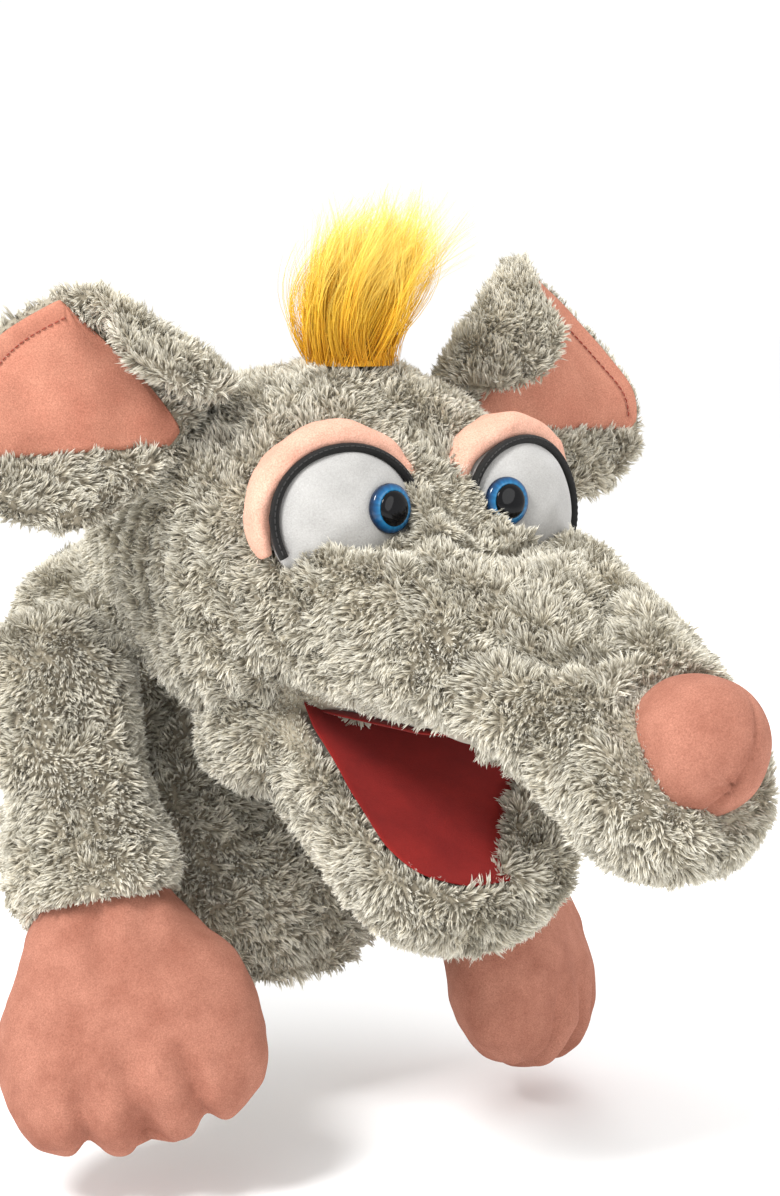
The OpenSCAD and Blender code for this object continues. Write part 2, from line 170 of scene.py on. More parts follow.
def ring_faces(rows, around, flip=False):
    """Quads between rings of vertices that close on themselves."""
    faces = []
    for k in range(rows - 1):
        for i in range(around):
            j = (i + 1) % around
            a, b, c, d = k * around + i, k * around + j, (k + 1) * around + j, (k + 1) * around + i
            faces.append([a, d, c, b] if flip else [a, b, c, d])
    return faces


def end_faces(rows, around, flip=False):
    """The two faces that close the first and the last ring."""
    first, last = list(range(around)), [(rows - 1) * around + i for i in range(around)]
    return [first, last[::-1]] if flip else [first[::-1], last]


def closed_faces(rows, around, flip=False):
    return ring_faces(rows, around, flip) + end_faces(rows, around, flip)


def leaf_faces(rows, cols):
    """The faces of a closed leaf: one grid of vertices, a second grid behind it and the rim between."""
    m = rows * cols
    faces = []
    for row in range(rows - 1):
        for a in range(row * cols, (row + 1) * cols - 1):
            faces.append([a, a + 1, a + cols + 1, a + cols])
            faces.append([m + a, m + a + cols, m + a + cols + 1, m + a + 1])
    rim = [*range(cols), *range(2 * cols - 1, m, cols)]
    rim += [*range(m - 2, m - cols - 1, -1), *range(m - 2 * cols, 0, -cols)]
    return faces + [[a, m + a, m + b, b] for a, b in zip(rim, rim[1:] + rim[:1])]


def remove(*obs):
    for ob in obs:
        bpy.data.objects.remove(ob, do_unlink=True)


def baked(ob):
    """Replaces an object's mesh by the one that its modifiers make."""
    graph = bpy.context.evaluated_depsgraph_get()
    graph.update()
    mesh = bpy.data.meshes.new_from_object(ob.evaluated_get(graph))
    ob.modifiers.clear()
    ob.data = mesh
    return ob


def joined(name, obs):
    verts, faces, start = [], [], 0
    for ob in obs:
        v = points(ob)
        verts.append(v)
        faces += [[start + i for i in p.vertices] for p in ob.data.polygons]
        start += len(v)
    remove(*obs)
    return new_object(name, np.concatenate(verts), faces)


def remeshed(ob, voxel):
    m = ob.modifiers.new("remesh", "REMESH")
    m.mode, m.voxel_size, m.use_smooth_shade = "VOXEL", voxel, True
    return baked(ob)


def carved(ob, cutter):
    m = ob.modifiers.new("carve", "BOOLEAN")
    m.operation, m.object, m.solver = "DIFFERENCE", cutter, "FAST"
    baked(ob)
    remove(cutter)
    return ob


def subdivided(ob, levels):
    m = ob.modifiers.new("smooth", "SUBSURF")
    m.levels = m.render_levels = levels
    return baked(ob)


def points(ob):
    v = np.empty(len(ob.data.vertices) * 3)
    ob.data.vertices.foreach_get("co", v)
    return v.reshape(-1, 3)


def set_points(ob, v):
    ob.data.vertices.foreach_set("co", np.ascontiguousarray(v, np.float32).ravel())
    ob.data.update()


def normals(ob):
    n = np.empty(len(ob.data.vertices) * 3)
    ob.data.vertex_normals.foreach_get("vector", n)
    return n.reshape(-1, 3)


def mirror(ob):
    set_points(ob, points(ob) * [-1, 1, 1])
    ob.data.flip_normals()


def push(ob, amount):
    """Moves each vertex along its normal by an amount in mm."""
    set_points(ob, points(ob) + normals(ob) * (amount * MM)[:, None])


def relaxed(ob, rounds):
    """Evens out a mesh by moving each vertex towards the middle of its neighbours."""
    e = np.empty(len(ob.data.edges) * 2, int)
    ob.data.edges.foreach_get("vertices", e)
    a, b = e.reshape(-1, 2).T
    v = points(ob)
    count = np.bincount(np.concatenate([a, b]), minlength=len(v))[:, None]
    for _ in range(rounds):
        total = np.zeros_like(v)
        for i in range(3):
            total[:, i] = np.bincount(a, v[b, i], len(v)) + np.bincount(b, v[a, i], len(v))
        step = total / np.maximum(count, 1) - v
        v = v + 0.6 * step
    set_points(ob, v)
    return ob


def triangles(ob):
    ob.data.calc_loop_triangles()
    t = np.empty(len(ob.data.loop_triangles) * 3, int)
    ob.data.loop_triangles.foreach_get("vertices", t)
    return t.reshape(-1, 3)


def split(ob, chosen, names):
    """Two objects in place of one: the faces most of whose vertices are chosen, and the others."""
    faces = [list(p.vertices) for p in ob.data.polygons]
    mine = [sum(chosen[i] for i in f) * 2 > len(f) for f in faces]
    v = points(ob)
    remove(ob)
    made = []
    for name, wanted in zip(names, (True, False)):
        kept = [f for f, m in zip(faces, mine) if m == wanted]
        used = sorted({i for f in kept for i in f})
        place = {u: k for k, u in enumerate(used)}
        made.append(new_object(name, v[used], [[place[i] for i in f] for f in kept]))
    return made


def tree_of(ob):
    return BVHTree.FromPolygons([tuple(p) for p in points(ob)], [tuple(t) for t in triangles(ob)])


def distances(tree, p):
    return np.array([tree.find_nearest(Vector(q))[3] for q in p])


# ---- Lofts ----


def refined(rows, steps):
    """More stations on smooth curves through the given ones."""
    rows = np.array(rows, float)
    last = len(rows) - 1
    out = []
    for i in range(last * steps + 1):
        k = min(i // steps, last - 1)
        t = i / steps - k
        p0, p1, p2, p3 = (rows[min(max(j, 0), last)] for j in range(k - 1, k + 3))
        out.append(
            0.5 * (2 * p1 + (p2 - p0) * t + (2 * p0 - 5 * p1 + 4 * p2 - p3) * t * t
                   + (3 * p1 - p0 - 3 * p2 + p3) * t**3)
        )
    return np.array(out)


HEM_BACK, HEM_SPAN = 84.0, 164.0


def signed_power(v, e):
    return np.sign(v) * np.abs(v) ** e


def loft(name, stations, place, n=72, steps=4, drop=0.0, up=2.15, down=2.5):
    """A closed form through stations of [distance, centre, half-width, reach up, reach down], in mm.
    place turns its (sideways, up, along) into the row frame."""
    rows = refined(stations, steps)
    a = 2 * math.pi * (np.arange(n) + 0.5) / n
    e = np.where(np.sin(a) > 0, up, down)
    c = signed_power(np.cos(a), 2 / e)
    s = signed_power(np.sin(a), 2 / e)
    top = rows[-1][0]
    rings = []
    for d, centre, wide, over, under in rows:
        reach = centre + np.where(s > 0, over, under) * s
        fall = drop * max(0, 1 - d / top) * (HEM_BACK - reach) / HEM_SPAN
        rings.append(np.stack([wide * c, reach, d - fall], 1))
    verts = np.concatenate(rings)
    faces = end_faces(len(rings), n, True) + ring_faces(len(rings), n, True)
    return new_object(name, place(verts) * MM, faces)


def upright(p):
    return p


def forward(p):
    return np.stack([p[:, 0], -p[:, 2], p[:, 1]], 1)


def jaw_place(p):
    return forward(p) @ rotation(0, JAW_REST).T + HINGE / MM


def in_jaw(p):
    """Row-frame points as (sideways, up from the jaw's top plane, along the jaw), in mm."""
    q = (p - HINGE) / MM @ rotation(0, JAW_REST)
    return np.stack([q[:, 0], q[:, 2], -q[:, 1]], 1)


def ball(name, centre, radii, n=48):
    """An ellipsoid, with centre and radii in mm."""
    lat = np.linspace(-math.pi / 2, math.pi / 2, n // 2 + 1)[1:-1]
    lon = np.arange(n) * 2 * math.pi / n
    v = [
        [math.cos(a) * math.cos(b), math.cos(a) * math.sin(b), math.sin(a)] for a in lat for b in lon
    ]
    v += [[0, 0, -1], [0, 0, 1]]
    rows = len(lat)
    faces = ring_faces(rows, n)
    faces += [[rows * n, (i + 1) % n, i] for i in range(n)]
    faces += [[rows * n + 1, (rows - 1) * n + i, (rows - 1) * n + (i + 1) % n] for i in range(n)]
    return new_object(name, (np.array(v) * radii + centre) * MM, faces)


def turned(profile, around):
    """The vertices of a form turned round Z, from its profile of (radius, height)."""
    angles = np.arange(around) * 2 * math.pi / around
    return np.concatenate([polar(r, angles, z) for r, z in profile])


def tube(name, path, radius, sides=12):
    """A round tube through the points of path, in metres, with one radius or one for each point."""
    path = np.asarray(path, float)
    r = np.broadcast_to(radius, len(path))
    t = unit(np.gradient(path, axis=0))
    across = unit(np.cross(t[0], [0.31, 0.52, 0.79]))
    verts = []
    for i, p in enumerate(path):
        across = unit(across - t[i] * (across @ t[i]))
        other = np.cross(t[i], across)
        a = np.arange(sides) * 2 * math.pi / sides
        verts.append(p + r[i] * (np.outer(np.cos(a), across) + np.outer(np.sin(a), other)))
    return new_object(name, np.concatenate(verts), closed_faces(len(path), sides))


# ---- Materials ----


def material(name):
    m = bpy.data.materials.new(name)
    m.use_nodes = True
    nt = m.node_tree
    return m, nt, nt.nodes["Principled BSDF"]


def node(nt, kind, **values):
    n = nt.nodes.new(kind)
    for key, value in values.items():
        if key in n.inputs:
            n.inputs[key].default_value = value
        else:
            setattr(n, key, value)
    return n


def sockets(shader, **values):
    """Sets the shader's own sockets, named with _ for each space."""
    for key, value in values.items():
        shader.inputs[key.replace("_", " ")].default_value = value


def ramp(nt, source, stops):
    r = nt.nodes.new("ShaderNodeValToRGB")
    e = r.color_ramp.elements
    while len(e) > len(stops):
        e.remove(e[-1])
    while len(e) < len(stops):
        e.new(0.5)
    for s, (at, colour) in zip(e, stops):
        s.position = at
        s.color = (*colour, 1)
    nt.links.new(source, r.inputs["Fac"])
    return r.outputs["Color"]


def linear(rgb):
    """A colour given as 0 to 255 display values."""
    return tuple(((c / 255 + 0.055) / 1.055) ** 2.4 if c > 10 else c / 255 / 12.92 for c in rgb)


def position(nt):
    return nt.nodes.new("ShaderNodeTexCoord").outputs["Object"]


def noise(nt, scale, detail=4.0, rough=0.6):
    n = node(nt, "ShaderNodeTexNoise", Scale=scale, Detail=detail, Roughness=rough)
    nt.links.new(position(nt), n.inputs["Vector"])
    return n.outputs["Fac"]


def vertex_value(nt, name):
    return node(nt, "ShaderNodeAttribute", attribute_name=name).outputs["Fac"]


def colour(nt, shader, first, second):
    """Sets the base colour to the product of two ramps, each given as its source and its stops."""
    product = node(nt, "ShaderNodeMix", data_type="RGBA", blend_type="MULTIPLY")
    product.inputs[0].default_value = 1.0
    nt.links.new(ramp(nt, *first), product.inputs[6])
    nt.links.new(ramp(nt, *second), product.inputs[7])
    nt.links.new(product.outputs[2], shader.inputs["Base Color"])


def bump(nt, shader, height, strength, distance):
    b = node(nt, "ShaderNodeBump", Strength=strength, Distance=distance)
    nt.links.new(height, b.inputs["Height"])
    nt.links.new(b.outputs["Normal"], shader.inputs["Normal"])


def fur_material(name, root, middle, tip, rough=0.75, sheen=0.25):
    """Strand colour runs from painted shade at the root to painted light at the tip; each lock has its own
    tone.
    """
    m, nt, p = material(name)
    # Darker roots and lighter tips: painted shade deep in the pile and painted light on the tips.
    body = [(0.0, linear(root)), (0.45, linear(middle)), (1.0, linear(tip))]
    shade = [(0.0, (0.58, 0.56, 0.52)), (0.5, (0.92, 0.92, 0.91)), (1.0, (1.12, 1.1, 1.06))]
    colour(nt, p, (vertex_value(nt, "along"), body), (vertex_value(nt, "tone"), shade))
    sockets(p, Roughness=rough, Specular_IOR_Level=0.25, Sheen_Weight=sheen)
    return m


def cloth_material(name, dark, light, weave=0.0, nap=0.35, sheen=0.4, rough=0.9, fine=2600.0):
    """Matte cloth with a nap, and a weave if it has one."""
    m, nt, p = material(name)
    height = small = noise(nt, fine, 2.0, 0.7)
    tint = [(0.3, linear(dark)), (0.7, linear(light))]
    shade = [(0.25, (0.82, 0.8, 0.8)), (0.75, (1.08, 1.08, 1.08))]
    colour(nt, p, (noise(nt, 45.0, 3.0), tint), (small, shade))
    if weave:
        w = node(nt, "ShaderNodeTexWave", Scale=weave, Distortion=1.5, Detail=2.0)
        w.inputs["Detail Scale"].default_value = 3.0
        nt.links.new(position(nt), w.inputs["Vector"])
        add = node(nt, "ShaderNodeMath", operation="ADD")
        nt.links.new(small, add.inputs[0])
        nt.links.new(w.outputs["Fac"], add.inputs[1])
        height = add.outputs[0]
    bump(nt, p, height, nap, 0.0006)
    sockets(p, Roughness=rough, Specular_IOR_Level=0.2, Sheen_Weight=sheen, Sheen_Roughness=0.4)
    return m


def velour_material(name, dark, light):
    """Short-napped cloth: patches where the nap lies one way or the other, over a fine grain."""
    m, nt, p = material(name)
    grain = noise(nt, 1500.0, 4.0, 0.8)
    tint = [(0.3, linear(dark)), (0.7, linear(light))]
    shade = [(0.34, (0.7, 0.66, 0.65)), (0.66, (1.16, 1.16, 1.17))]
    colour(nt, p, (noise(nt, 55.0, 4.0, 0.6), tint), (grain, shade))
    bump(nt, p, grain, 0.55, 0.0009)
    sockets(p, Roughness=0.95, Specular_IOR_Level=0.15, Sheen_Weight=0.35, Sheen_Roughness=0.35,
            Sheen_Tint=(*linear(light), 1))
    return m


def plastic_material(name, dark, light, rough, specular=0.5):
    m, nt, p = material(name)
    tint = [(0.35, linear(dark)), (0.65, linear(light))]
    nt.links.new(ramp(nt, noise(nt, 60.0), tint), p.inputs["Base Color"])
    sockets(p, Roughness=rough, Specular_IOR_Level=specular)
    bump(nt, p, noise(nt, 900.0), 0.03, 0.0002)
    return m


GREY_FUR = fur_material("plush_pile", (150, 142, 125), (206, 200, 184), (238, 235, 224))
GREY_CLOTH = cloth_material("plush_ground", (150, 142, 124), (168, 160, 142), fine=900.0)
PINK = velour_material("velour", (184, 121, 100), (198, 138, 115))
PINK_DEEP = velour_material("velour_deep", (156, 102, 84), (184, 128, 108))
PINK_LIGHT = velour_material("velour_lid", (222, 168, 146), (232, 184, 162))
WHITE = cloth_material("eye_fleece", (166, 165, 162), (180, 179, 176), fine=1500.0, nap=0.5)
RED = cloth_material("mouth_cloth", (118, 24, 22), (138, 32, 28), fine=1800.0, nap=0.2, sheen=0.1)
LINING = cloth_material("lining_weave", (96, 94, 90), (120, 118, 112), weave=900.0, sheen=0.1)
CORD = cloth_material("piping_cord", (16, 16, 16), (34, 33, 32), weave=1400.0, sheen=0.05, rough=0.6)
BLACK_THREAD = cloth_material("black_thread", (52, 52, 52), (74, 73, 72), fine=3000.0, sheen=0.05)
BOARD = plastic_material("board_plastic", (140, 140, 135), (152, 152, 147), 0.6)
WASHER = plastic_material("washer_plastic", (24, 24, 24), (34, 34, 34), 0.5)
PUPIL = plastic_material("pupil_plastic", (6, 6, 8), (12, 12, 15), 0.06, specular=0.2)
GOLD_FUR = fur_material("gold_pile", (222, 160, 30), (250, 205, 62), (254, 228, 120), rough=0.42, sheen=0.1)
GOLD_CLOTH = cloth_material("gold_ground", (170, 120, 30), (196, 146, 44), fine=900.0)
THREAD = cloth_material("sewing_thread", (138, 60, 44), (158, 74, 56), fine=3000.0)


def iris_material():
    """Blue plastic, lighter towards the pupil, with faint spokes."""
    m, nt, p = material("iris_plastic")
    blues = ((0.0, (22, 96, 140)), (0.74, (26, 112, 160)), (0.88, (14, 78, 124)), (1.0, (8, 34, 62)))
    body = [(at, linear(blue)) for at, blue in blues]
    spokes = [(0.3, (0.8, 0.8, 0.8)), (0.7, (1.1, 1.1, 1.1))]
    colour(nt, p, (vertex_value(nt, "from_centre"), body), (vertex_value(nt, "spoke"), spokes))
    sockets(p, Roughness=0.15, Specular_IOR_Level=0.25, Coat_Weight=0.3, Coat_Roughness=0.04)
    return m


IRIS = iris_material()


def paint(ob, mat):
    ob.data.materials.clear()
    ob.data.materials.append(mat)
    return ob


# ---- Pile ----

STRANDS_PER_LOCK = 5
LOCK_GAP = 1.36 * MM
LOCK_LEAN = 0.62
STRAND_HALF_WIDTH = 0.24 * MM
SHORTEST_LOCK, LONGEST_LOCK = 1.5 * MM, 12 * MM
LARGEST_PILE = 64000


def strand_mesh(name, roots, mids, tips, side, tone):
    """Flat tapering strands: two triangles to the middle and one to the tip."""
    n = len(roots)
    v = np.stack([roots - side, roots + side, mids - side * 0.95, mids + side * 0.95, tips], 1)
    f = np.arange(n)[:, None, None] * 5 + np.array([[0, 1, 3], [0, 3, 2], [2, 3, 4]])
    values_of = {"along": np.tile([0.0, 0.0, 0.5, 0.5, 1.0], n), "tone": np.repeat(tone, 5)}
    return array_object(name, v, f.reshape(-1, 3), values_of)


def pile(name, base, mask, body, seed, flow, length=5.6):
    """Locks of strands over a base mesh. mask is 0 to 1 for each vertex: how long and how likely the
    pile is there. The pile is cut into objects that are small enough to export whole."""
    rng = np.random.default_rng(seed)
    v, t, vn = points(base), triangles(base), normals(base)
    e1, e2 = v[t[:, 1]] - v[t[:, 0]], v[t[:, 2]] - v[t[:, 0]]
    area = np.linalg.norm(np.cross(e1, e2), axis=1) / 2
    share = area * np.clip(mask[t].mean(1) * 2, 0, 1)
    gap = LOCK_GAP * 1.0
    count = int(share.sum() / gap**2)
    edges = np.cumsum(share) / share.sum()
    # One lock in each equal share of the surface, which spreads them more evenly than plain chance.
    pick = np.searchsorted(edges, (np.arange(count) + rng.uniform(size=count)) / count)
    pick = np.minimum(pick, len(t) - 1)
    r1, r2 = np.sqrt(rng.uniform(size=count)), rng.uniform(size=count)
    bary = np.stack([1 - r1, r1 * (1 - r2), r1 * r2], 1)[:, :, None]
    root = (v[t[pick]] * bary).sum(1)
    normal = unit((vn[t[pick]] * bary).sum(1))
    tall = (mask[t[pick]] * bary[:, :, 0]).sum(1)
    # The lay of the pile: a general direction, swirls, and each lock's own turn.
    drift = np.array(flow) + 0.5 * wave_vectors(root, 0.045, seed) + 0.7 * wave_vectors(root, 0.012, seed + 5)
    drift += 0.5 * rng.normal(size=(count, 3))
    drift -= normal * (drift * normal).sum(1, keepdims=True)
    drift *= 1 / np.maximum(1, np.linalg.norm(drift, axis=1, keepdims=True))
    size = length * MM * tall * (0.88 + 0.1 * Waves(0.012, seed + 9)(root) + 0.13 * rng.normal(size=count))
    size = np.clip(size, SHORTEST_LOCK, LONGEST_LOCK)[:, None]
    tip = root + size * (0.86 * normal + LOCK_LEAN * drift)
    tone = 0.56 + 0.06 * Waves(0.03, seed + 20)(root) + 0.07 * Waves(0.006, seed + 21)(root)
    tone += 0.15 * rng.normal(size=count)
    k = STRANDS_PER_LOCK
    rep = lambda a: np.repeat(a, k, 0)
    n = count * k
    side_a = unit(np.cross(normal, [0.3, 0.5, 0.8]))
    side_b = np.cross(normal, side_a)
    ang, rad = rng.uniform(0, 2 * math.pi, n), np.sqrt(rng.uniform(size=n))
    disc = (np.cos(ang) * rad)[:, None] * rep(side_a) + (np.sin(ang) * rad)[:, None] * rep(side_b)
    roots = rep(root) + disc * 0.7 * MM - rep(normal) * 0.8 * MM
    spread = 0.5 * MM * (0.5 + rng.uniform(size=(n, 1)))
    tips = rep(tip) + disc * spread + 0.24 * MM * rng.normal(size=(n, 3))
    shorter = rng.uniform(0.74, 1.08, (n, 1))
    tips = roots + (tips - roots) * shorter
    mids = roots + 0.6 * (tips - roots) + rep(normal) * rep(size) * 0.14 + 0.12 * MM * rng.normal(size=(n, 3))
    side = unit(np.cross(tips - roots, rng.normal(size=(n, 3))))
    side *= STRAND_HALF_WIDTH * rng.uniform(0.7, 1.25, (n, 1))
    tones = np.clip(rep(tone) + 0.08 * rng.normal(size=n), 0, 1)
    for i, start in enumerate(range(0, n, LARGEST_PILE)):
        s = slice(start, min(start + LARGEST_PILE, n))
        label = name if n <= LARGEST_PILE else f"{name}_{i + 1}"
        put(strand_mesh(label, roots[s], mids[s], tips[s], side[s], tones[s]), body, "grey_plush", GREY_FUR)


def put(ob, body, slot, mat, *nodes, fill=None):
    """Paints an object and rides it on its body or, when body is a pair of bodies, leaves it fixed in place,
    and hides the CAD nodes that it stands for. The slot and the fill are not used."""
    paint(ob, mat)
    if isinstance(body, tuple):
        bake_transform(ob)
    else:
        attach(ob, body)
    if nodes:
        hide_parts(*nodes)


# ---- Head and jaw ----


def corners(node_name):
    """The low and the high corner of a CAD node's box, in metres."""
    return [np.array(corner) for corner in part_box(node_name)]


HEAD = [
    [34, 168, 34, 32, 14], [46, 166, 63, 54, 30], [62, 162, 75, 68, 48], [90, 160, 82, 75, 73],
    [118, 160, 84, 78, 79], [146, 157, 80, 75, 65], [172, 152, 72, 60, 48], [205, 146, 66, 48, 43],
    [235, 138, 60, 41, 35], [265, 127, 52, 36, 28], [290, 115, 45, 33, 31], [314, 103, 40, 33, 40],
    [338, 96, 36, 29, 35], [353, 93, 26, 20, 25], [361, 93, 9, 8, 9],
]
JAW = [
    [-52, -4, 40, 8, 30], [-42, -5, 52, 12, 42], [-22, -7, 57, 9, 48], [1, -8, 56, 7, 48],
    [24, -8, 56, 7, 47], [48, -8, 54, 7, 43], [71, -8, 50, 7, 41], [87, -9, 43, 8, 36],
    [98, -12, 32, 9, 24], [104, -14, 14, 5, 8],
]
# The middle of the left eye's pad, and the plastic eye's size, shifts and aim in the pad's own frame.
EYE = np.array([43.0, -181.0, 181.0])
IRIS_R = 10.0
IRIS_SHIFT = np.array([-12.0, 3.9, -2.2])
IRIS_SIDEWAYS = np.array([-3.5, 0, -1.0])
IRIS_AIM = math.radians(-14), math.radians(2)
EYE_R, EYE_DEPTH, EYE_YAW, EYE_PITCH = 30.5, 19.0, math.radians(10), math.radians(-6)
BROW_DIP = 20.0
CHEEK_RIDGE, CHEEK_RIDGE_GAP = 2.4, 13.5
NOSE = sum(corners("nose_skin")) / 2 / MM
NOSE_R = corners("nose_skin")[1][0] / MM
HAIR_TOP = corners("hair_backing")[1] / MM
HAIR_CENTRE = sum(corners("hair_backing")) / 2 / MM


def eye_place(side):
    """The frame of an eye as a function: x outward from the nose, y up, z out of the eye, in mm."""
    turn = rotation(2, EYE_YAW) @ rotation(0, EYE_PITCH)
    return lambda p: (forward(p) @ turn.T + EYE) * [side, 1, 1] * MM


def eye_cutter(side, grow, window):
    """The pad's seat and the window in front of it, as two forms to cut from the head."""
    place = eye_place(side)
    seat = ball("seat", np.zeros(3), np.array([EYE_R + grow, EYE_R + grow, EYE_DEPTH + grow]))
    set_points(seat, place(points(seat) / MM))
    if side < 0:
        seat.data.flip_normals()
    path = place(np.array([[-1.0, 6.5, z] for z in np.linspace(0, 60, 7)]))
    return seat, tube("window", path, window * MM, 40)


def jaw_skew(along):
    """How far the soft front of the jaw hangs to the puppet's right, in mm."""
    return -8.0 * smoothstep(along, 15, 100)


def bed_width(q):
    """Half-width of the mouth's bed. The soft rim is thin on the puppet's right and full on its left."""
    right = np.interp(q[:, 2], [0, 24, 48, 66, 78, 88, 95, 98], [49, 49, 48, 46, 42, 35, 24, 0])
    left = np.interp(q[:, 2], [0, 24, 40, 56, 70, 82, 88, 90], [49, 45, 36, 26, 17, 8, 3, 0])
    return np.where(q[:, 0] < 0, right, left)


def make_face():
    head = loft("head", HEAD, forward)
    for side in (-1, 1):
        for cutter in eye_cutter(side, 0.6, 24.0):
            head = carved(head, cutter)
    whole_head = loft("whole_head", HEAD, forward)
    jaw = loft("jaw", JAW, jaw_place)
    head_tree, jaw_tree = tree_of(whole_head), tree_of(jaw)
    remove(whole_head)
    cheeks = [ball("cheek", (side * 45, -128, 88), (24, 30, 22)) for side in (-1, 1)]
    low = np.radians(np.linspace(-165, -32, 24))
    reach = np.linspace(19, 23, 24)
    arc = np.stack([reach * np.cos(low) - 1, reach * np.sin(low), np.linspace(11, 7, 24)], 1)
    pouches = [tube("pouch", eye_place(side)(arc), np.linspace(8, 6.5, 24) * MM, 24) for side in (-1, 1)]
    face = remeshed(joined("face", [head, jaw, *cheeks, *pouches]), 2.6 * MM)
    face = relaxed(face, 5)
    v = points(face)
    q = in_jaw(v)
    # The lining's bed on top of the jaw, which leaves a raised rim round the mouth.
    width = bed_width(q)
    on_top = smoothstep(q[:, 1], -9, -4) * (q[:, 2] > -10) * (q[:, 2] < 112)
    inside = smoothstep(width - np.abs(q[:, 0]), 0, 9)
    rim = (1 - smoothstep(width - np.abs(q[:, 0]), -3, 4)) * smoothstep(q[:, 2], 20, 70)
    rim *= 2.5 + 3.5 * smoothstep(q[:, 0], -10, 20)
    v += np.outer(on_top * (7 * inside - rim) * MM, [0, math.sin(JAW_REST), -math.cos(JAW_REST)])
    v[:, 0] += jaw_skew(q[:, 2]) * (q[:, 1] < 14) * MM
    # The snout's root dips between the eyes, a little to the puppet's left.
    dip = np.exp(-((v[:, 0] - 0.006) / 0.025) ** 2 - ((v[:, 1] + 0.213) / 0.024) ** 2)
    dip = dip * smoothstep(v[:, 2], 0.14, 0.17)
    v[:, 2] -= dip * BROW_DIP * MM
    crown = np.linalg.norm((v / MM - HAIR_CENTRE)[:, :2], axis=1)
    v[:, 2] += (1 - smoothstep(crown, 12, 30)) * (v[:, 2] > 0.2) * 2.5 * MM
    # Cloth puckers: ridges that run down the cheek behind the mouth, and soft dents elsewhere.
    n = normals(face)
    cheek = smoothstep(v[:, 1], -0.15, -0.105) * smoothstep(v[:, 2], 0.075, 0.1)
    cheek *= 1 - smoothstep(v[:, 2], 0.165, 0.2)
    ridge = np.sin(v[:, 1] / (CHEEK_RIDGE_GAP * MM) * 2 * math.pi + 1.6 * Waves(0.09, 31)(v))
    v += n * (cheek * ridge * CHEEK_RIDGE * MM)[:, None]
    dents = (Waves(0.05, 32)(v) * 0.8 + Waves(0.022, 33)(v) * 0.25) * smoothstep(v[:, 1], -0.36, -0.33)
    v += n * (dents * MM)[:, None]
    near_nose = 1 - smoothstep(np.linalg.norm(v / MM - NOSE, axis=1), NOSE_R + 1, NOSE_R + 11)
    v[:, 1] += near_nose * 6.0 * MM
    # The crease that runs up from the lip to the nose.
    lip = np.exp(-(v[:, 0] / 0.0035) ** 2) * smoothstep(-v[:, 1], 0.33, 0.345) * (v[:, 2] < 0.105)
    v -= n * (lip * 3.5 * MM)[:, None]
    set_points(face, v)
    to_head, to_jaw = distances(head_tree, v), distances(jaw_tree, v)
    q = in_jaw(v)
    is_jaw = (to_jaw < to_head) | ((q[:, 2] > 6) & (q[:, 1] < 3) & (v[:, 2] < 0.1))
    is_jaw &= (q[:, 2] > -48) & (q[:, 1] < 14)
    return split(face, is_jaw, ("jaw_plush", "head_plush"))


jaw_skin, head_skin = make_face()
JAW_BEND = ("head", "jaw", *(jaw_place(np.array([[0, -20, -30], [0, -20, 16]])) * MM))


def by_corner(v):
    """The pile is short at the corners of the mouth."""
    corner = jaw_place(np.array([[49, 0, 0]]))[0]
    off = np.linalg.norm(np.abs(v / MM * [1, 0, 0]) + v / MM * [0, 1, 1] - corner, axis=1)
    return 0.35 + 0.65 * smoothstep(off, 9, 24)


def head_mask(ob):
    """Where the head has pile: none in the mouth, under the eyes' pads or at the neck, and less by the nose."""
    v = points(ob)
    mask = np.ones(len(v))
    for side in (-1, 1):
        x, y, z = ((v / MM * [side, 1, 1] - EYE) @ rotation(2, EYE_YAW)).T
        r = np.sqrt(x**2 + y**2 * (EYE_R / EYE_DEPTH) ** 2 * 0.9 + z**2)
        least = 0.25 + 0.5 * smoothstep(-z, 4, 12)
        mask *= least + (1 - least) * smoothstep(r, EYE_R - 1, EYE_R + 5)
        mask[(r < EYE_R - 0.5) & (z > -6)] = 0
    mask *= 1 - 0.4 * np.exp(-(v[:, 0] / 0.024) ** 2 - ((v[:, 1] + 0.208) / 0.024) ** 2) * (v[:, 2] > 0.14)
    nose = np.linalg.norm(v / MM - NOSE, axis=1)
    mask *= 0.5 + 0.5 * smoothstep(nose, NOSE_R + 1, NOSE_R + 8)
    mask *= by_corner(v)
    mouth = (normals(ob)[:, 2] < -0.55) & (v[:, 2] < 0.108) & (np.abs(v[:, 0]) < 0.043)
    mouth &= (v[:, 1] < -0.16) & (v[:, 1] > -0.262)
    mask[mouth | (np.linalg.norm(v - NECK, axis=1) < 0.058)] = 0
    return mask


def jaw_mask(ob):
    v = points(ob)
    q = in_jaw(v)
    q[:, 0] -= jaw_skew(q[:, 2])
    bed = (np.abs(q[:, 0]) < bed_width(q) - 3) & (q[:, 1] > -12) & (q[:, 2] > -14) & (q[:, 2] < 95)
    mask = np.where(bed & (normals(ob) @ [0, -math.sin(JAW_REST), math.cos(JAW_REST)] > 0.4), 0.0, 1.0)
    return mask * by_corner(v)


put(head_skin, "head", "grey_plush", GREY_CLOTH, "head_skin", "head_stuffing", "snout_stuffing", fill=0.85)
pile("head_pile", head_skin, head_mask(head_skin), "head", seed=11, flow=(0, 0.25, -0.35))
put(jaw_skin, JAW_BEND, "grey_plush", GREY_CLOTH, "jaw_skin", "jaw_stuffing", fill=0.7)
pile("jaw_pile", jaw_skin, jaw_mask(jaw_skin), JAW_BEND, seed=12, flow=(0, 0.2, -0.4), length=5.8)


# ---- Mouth ----


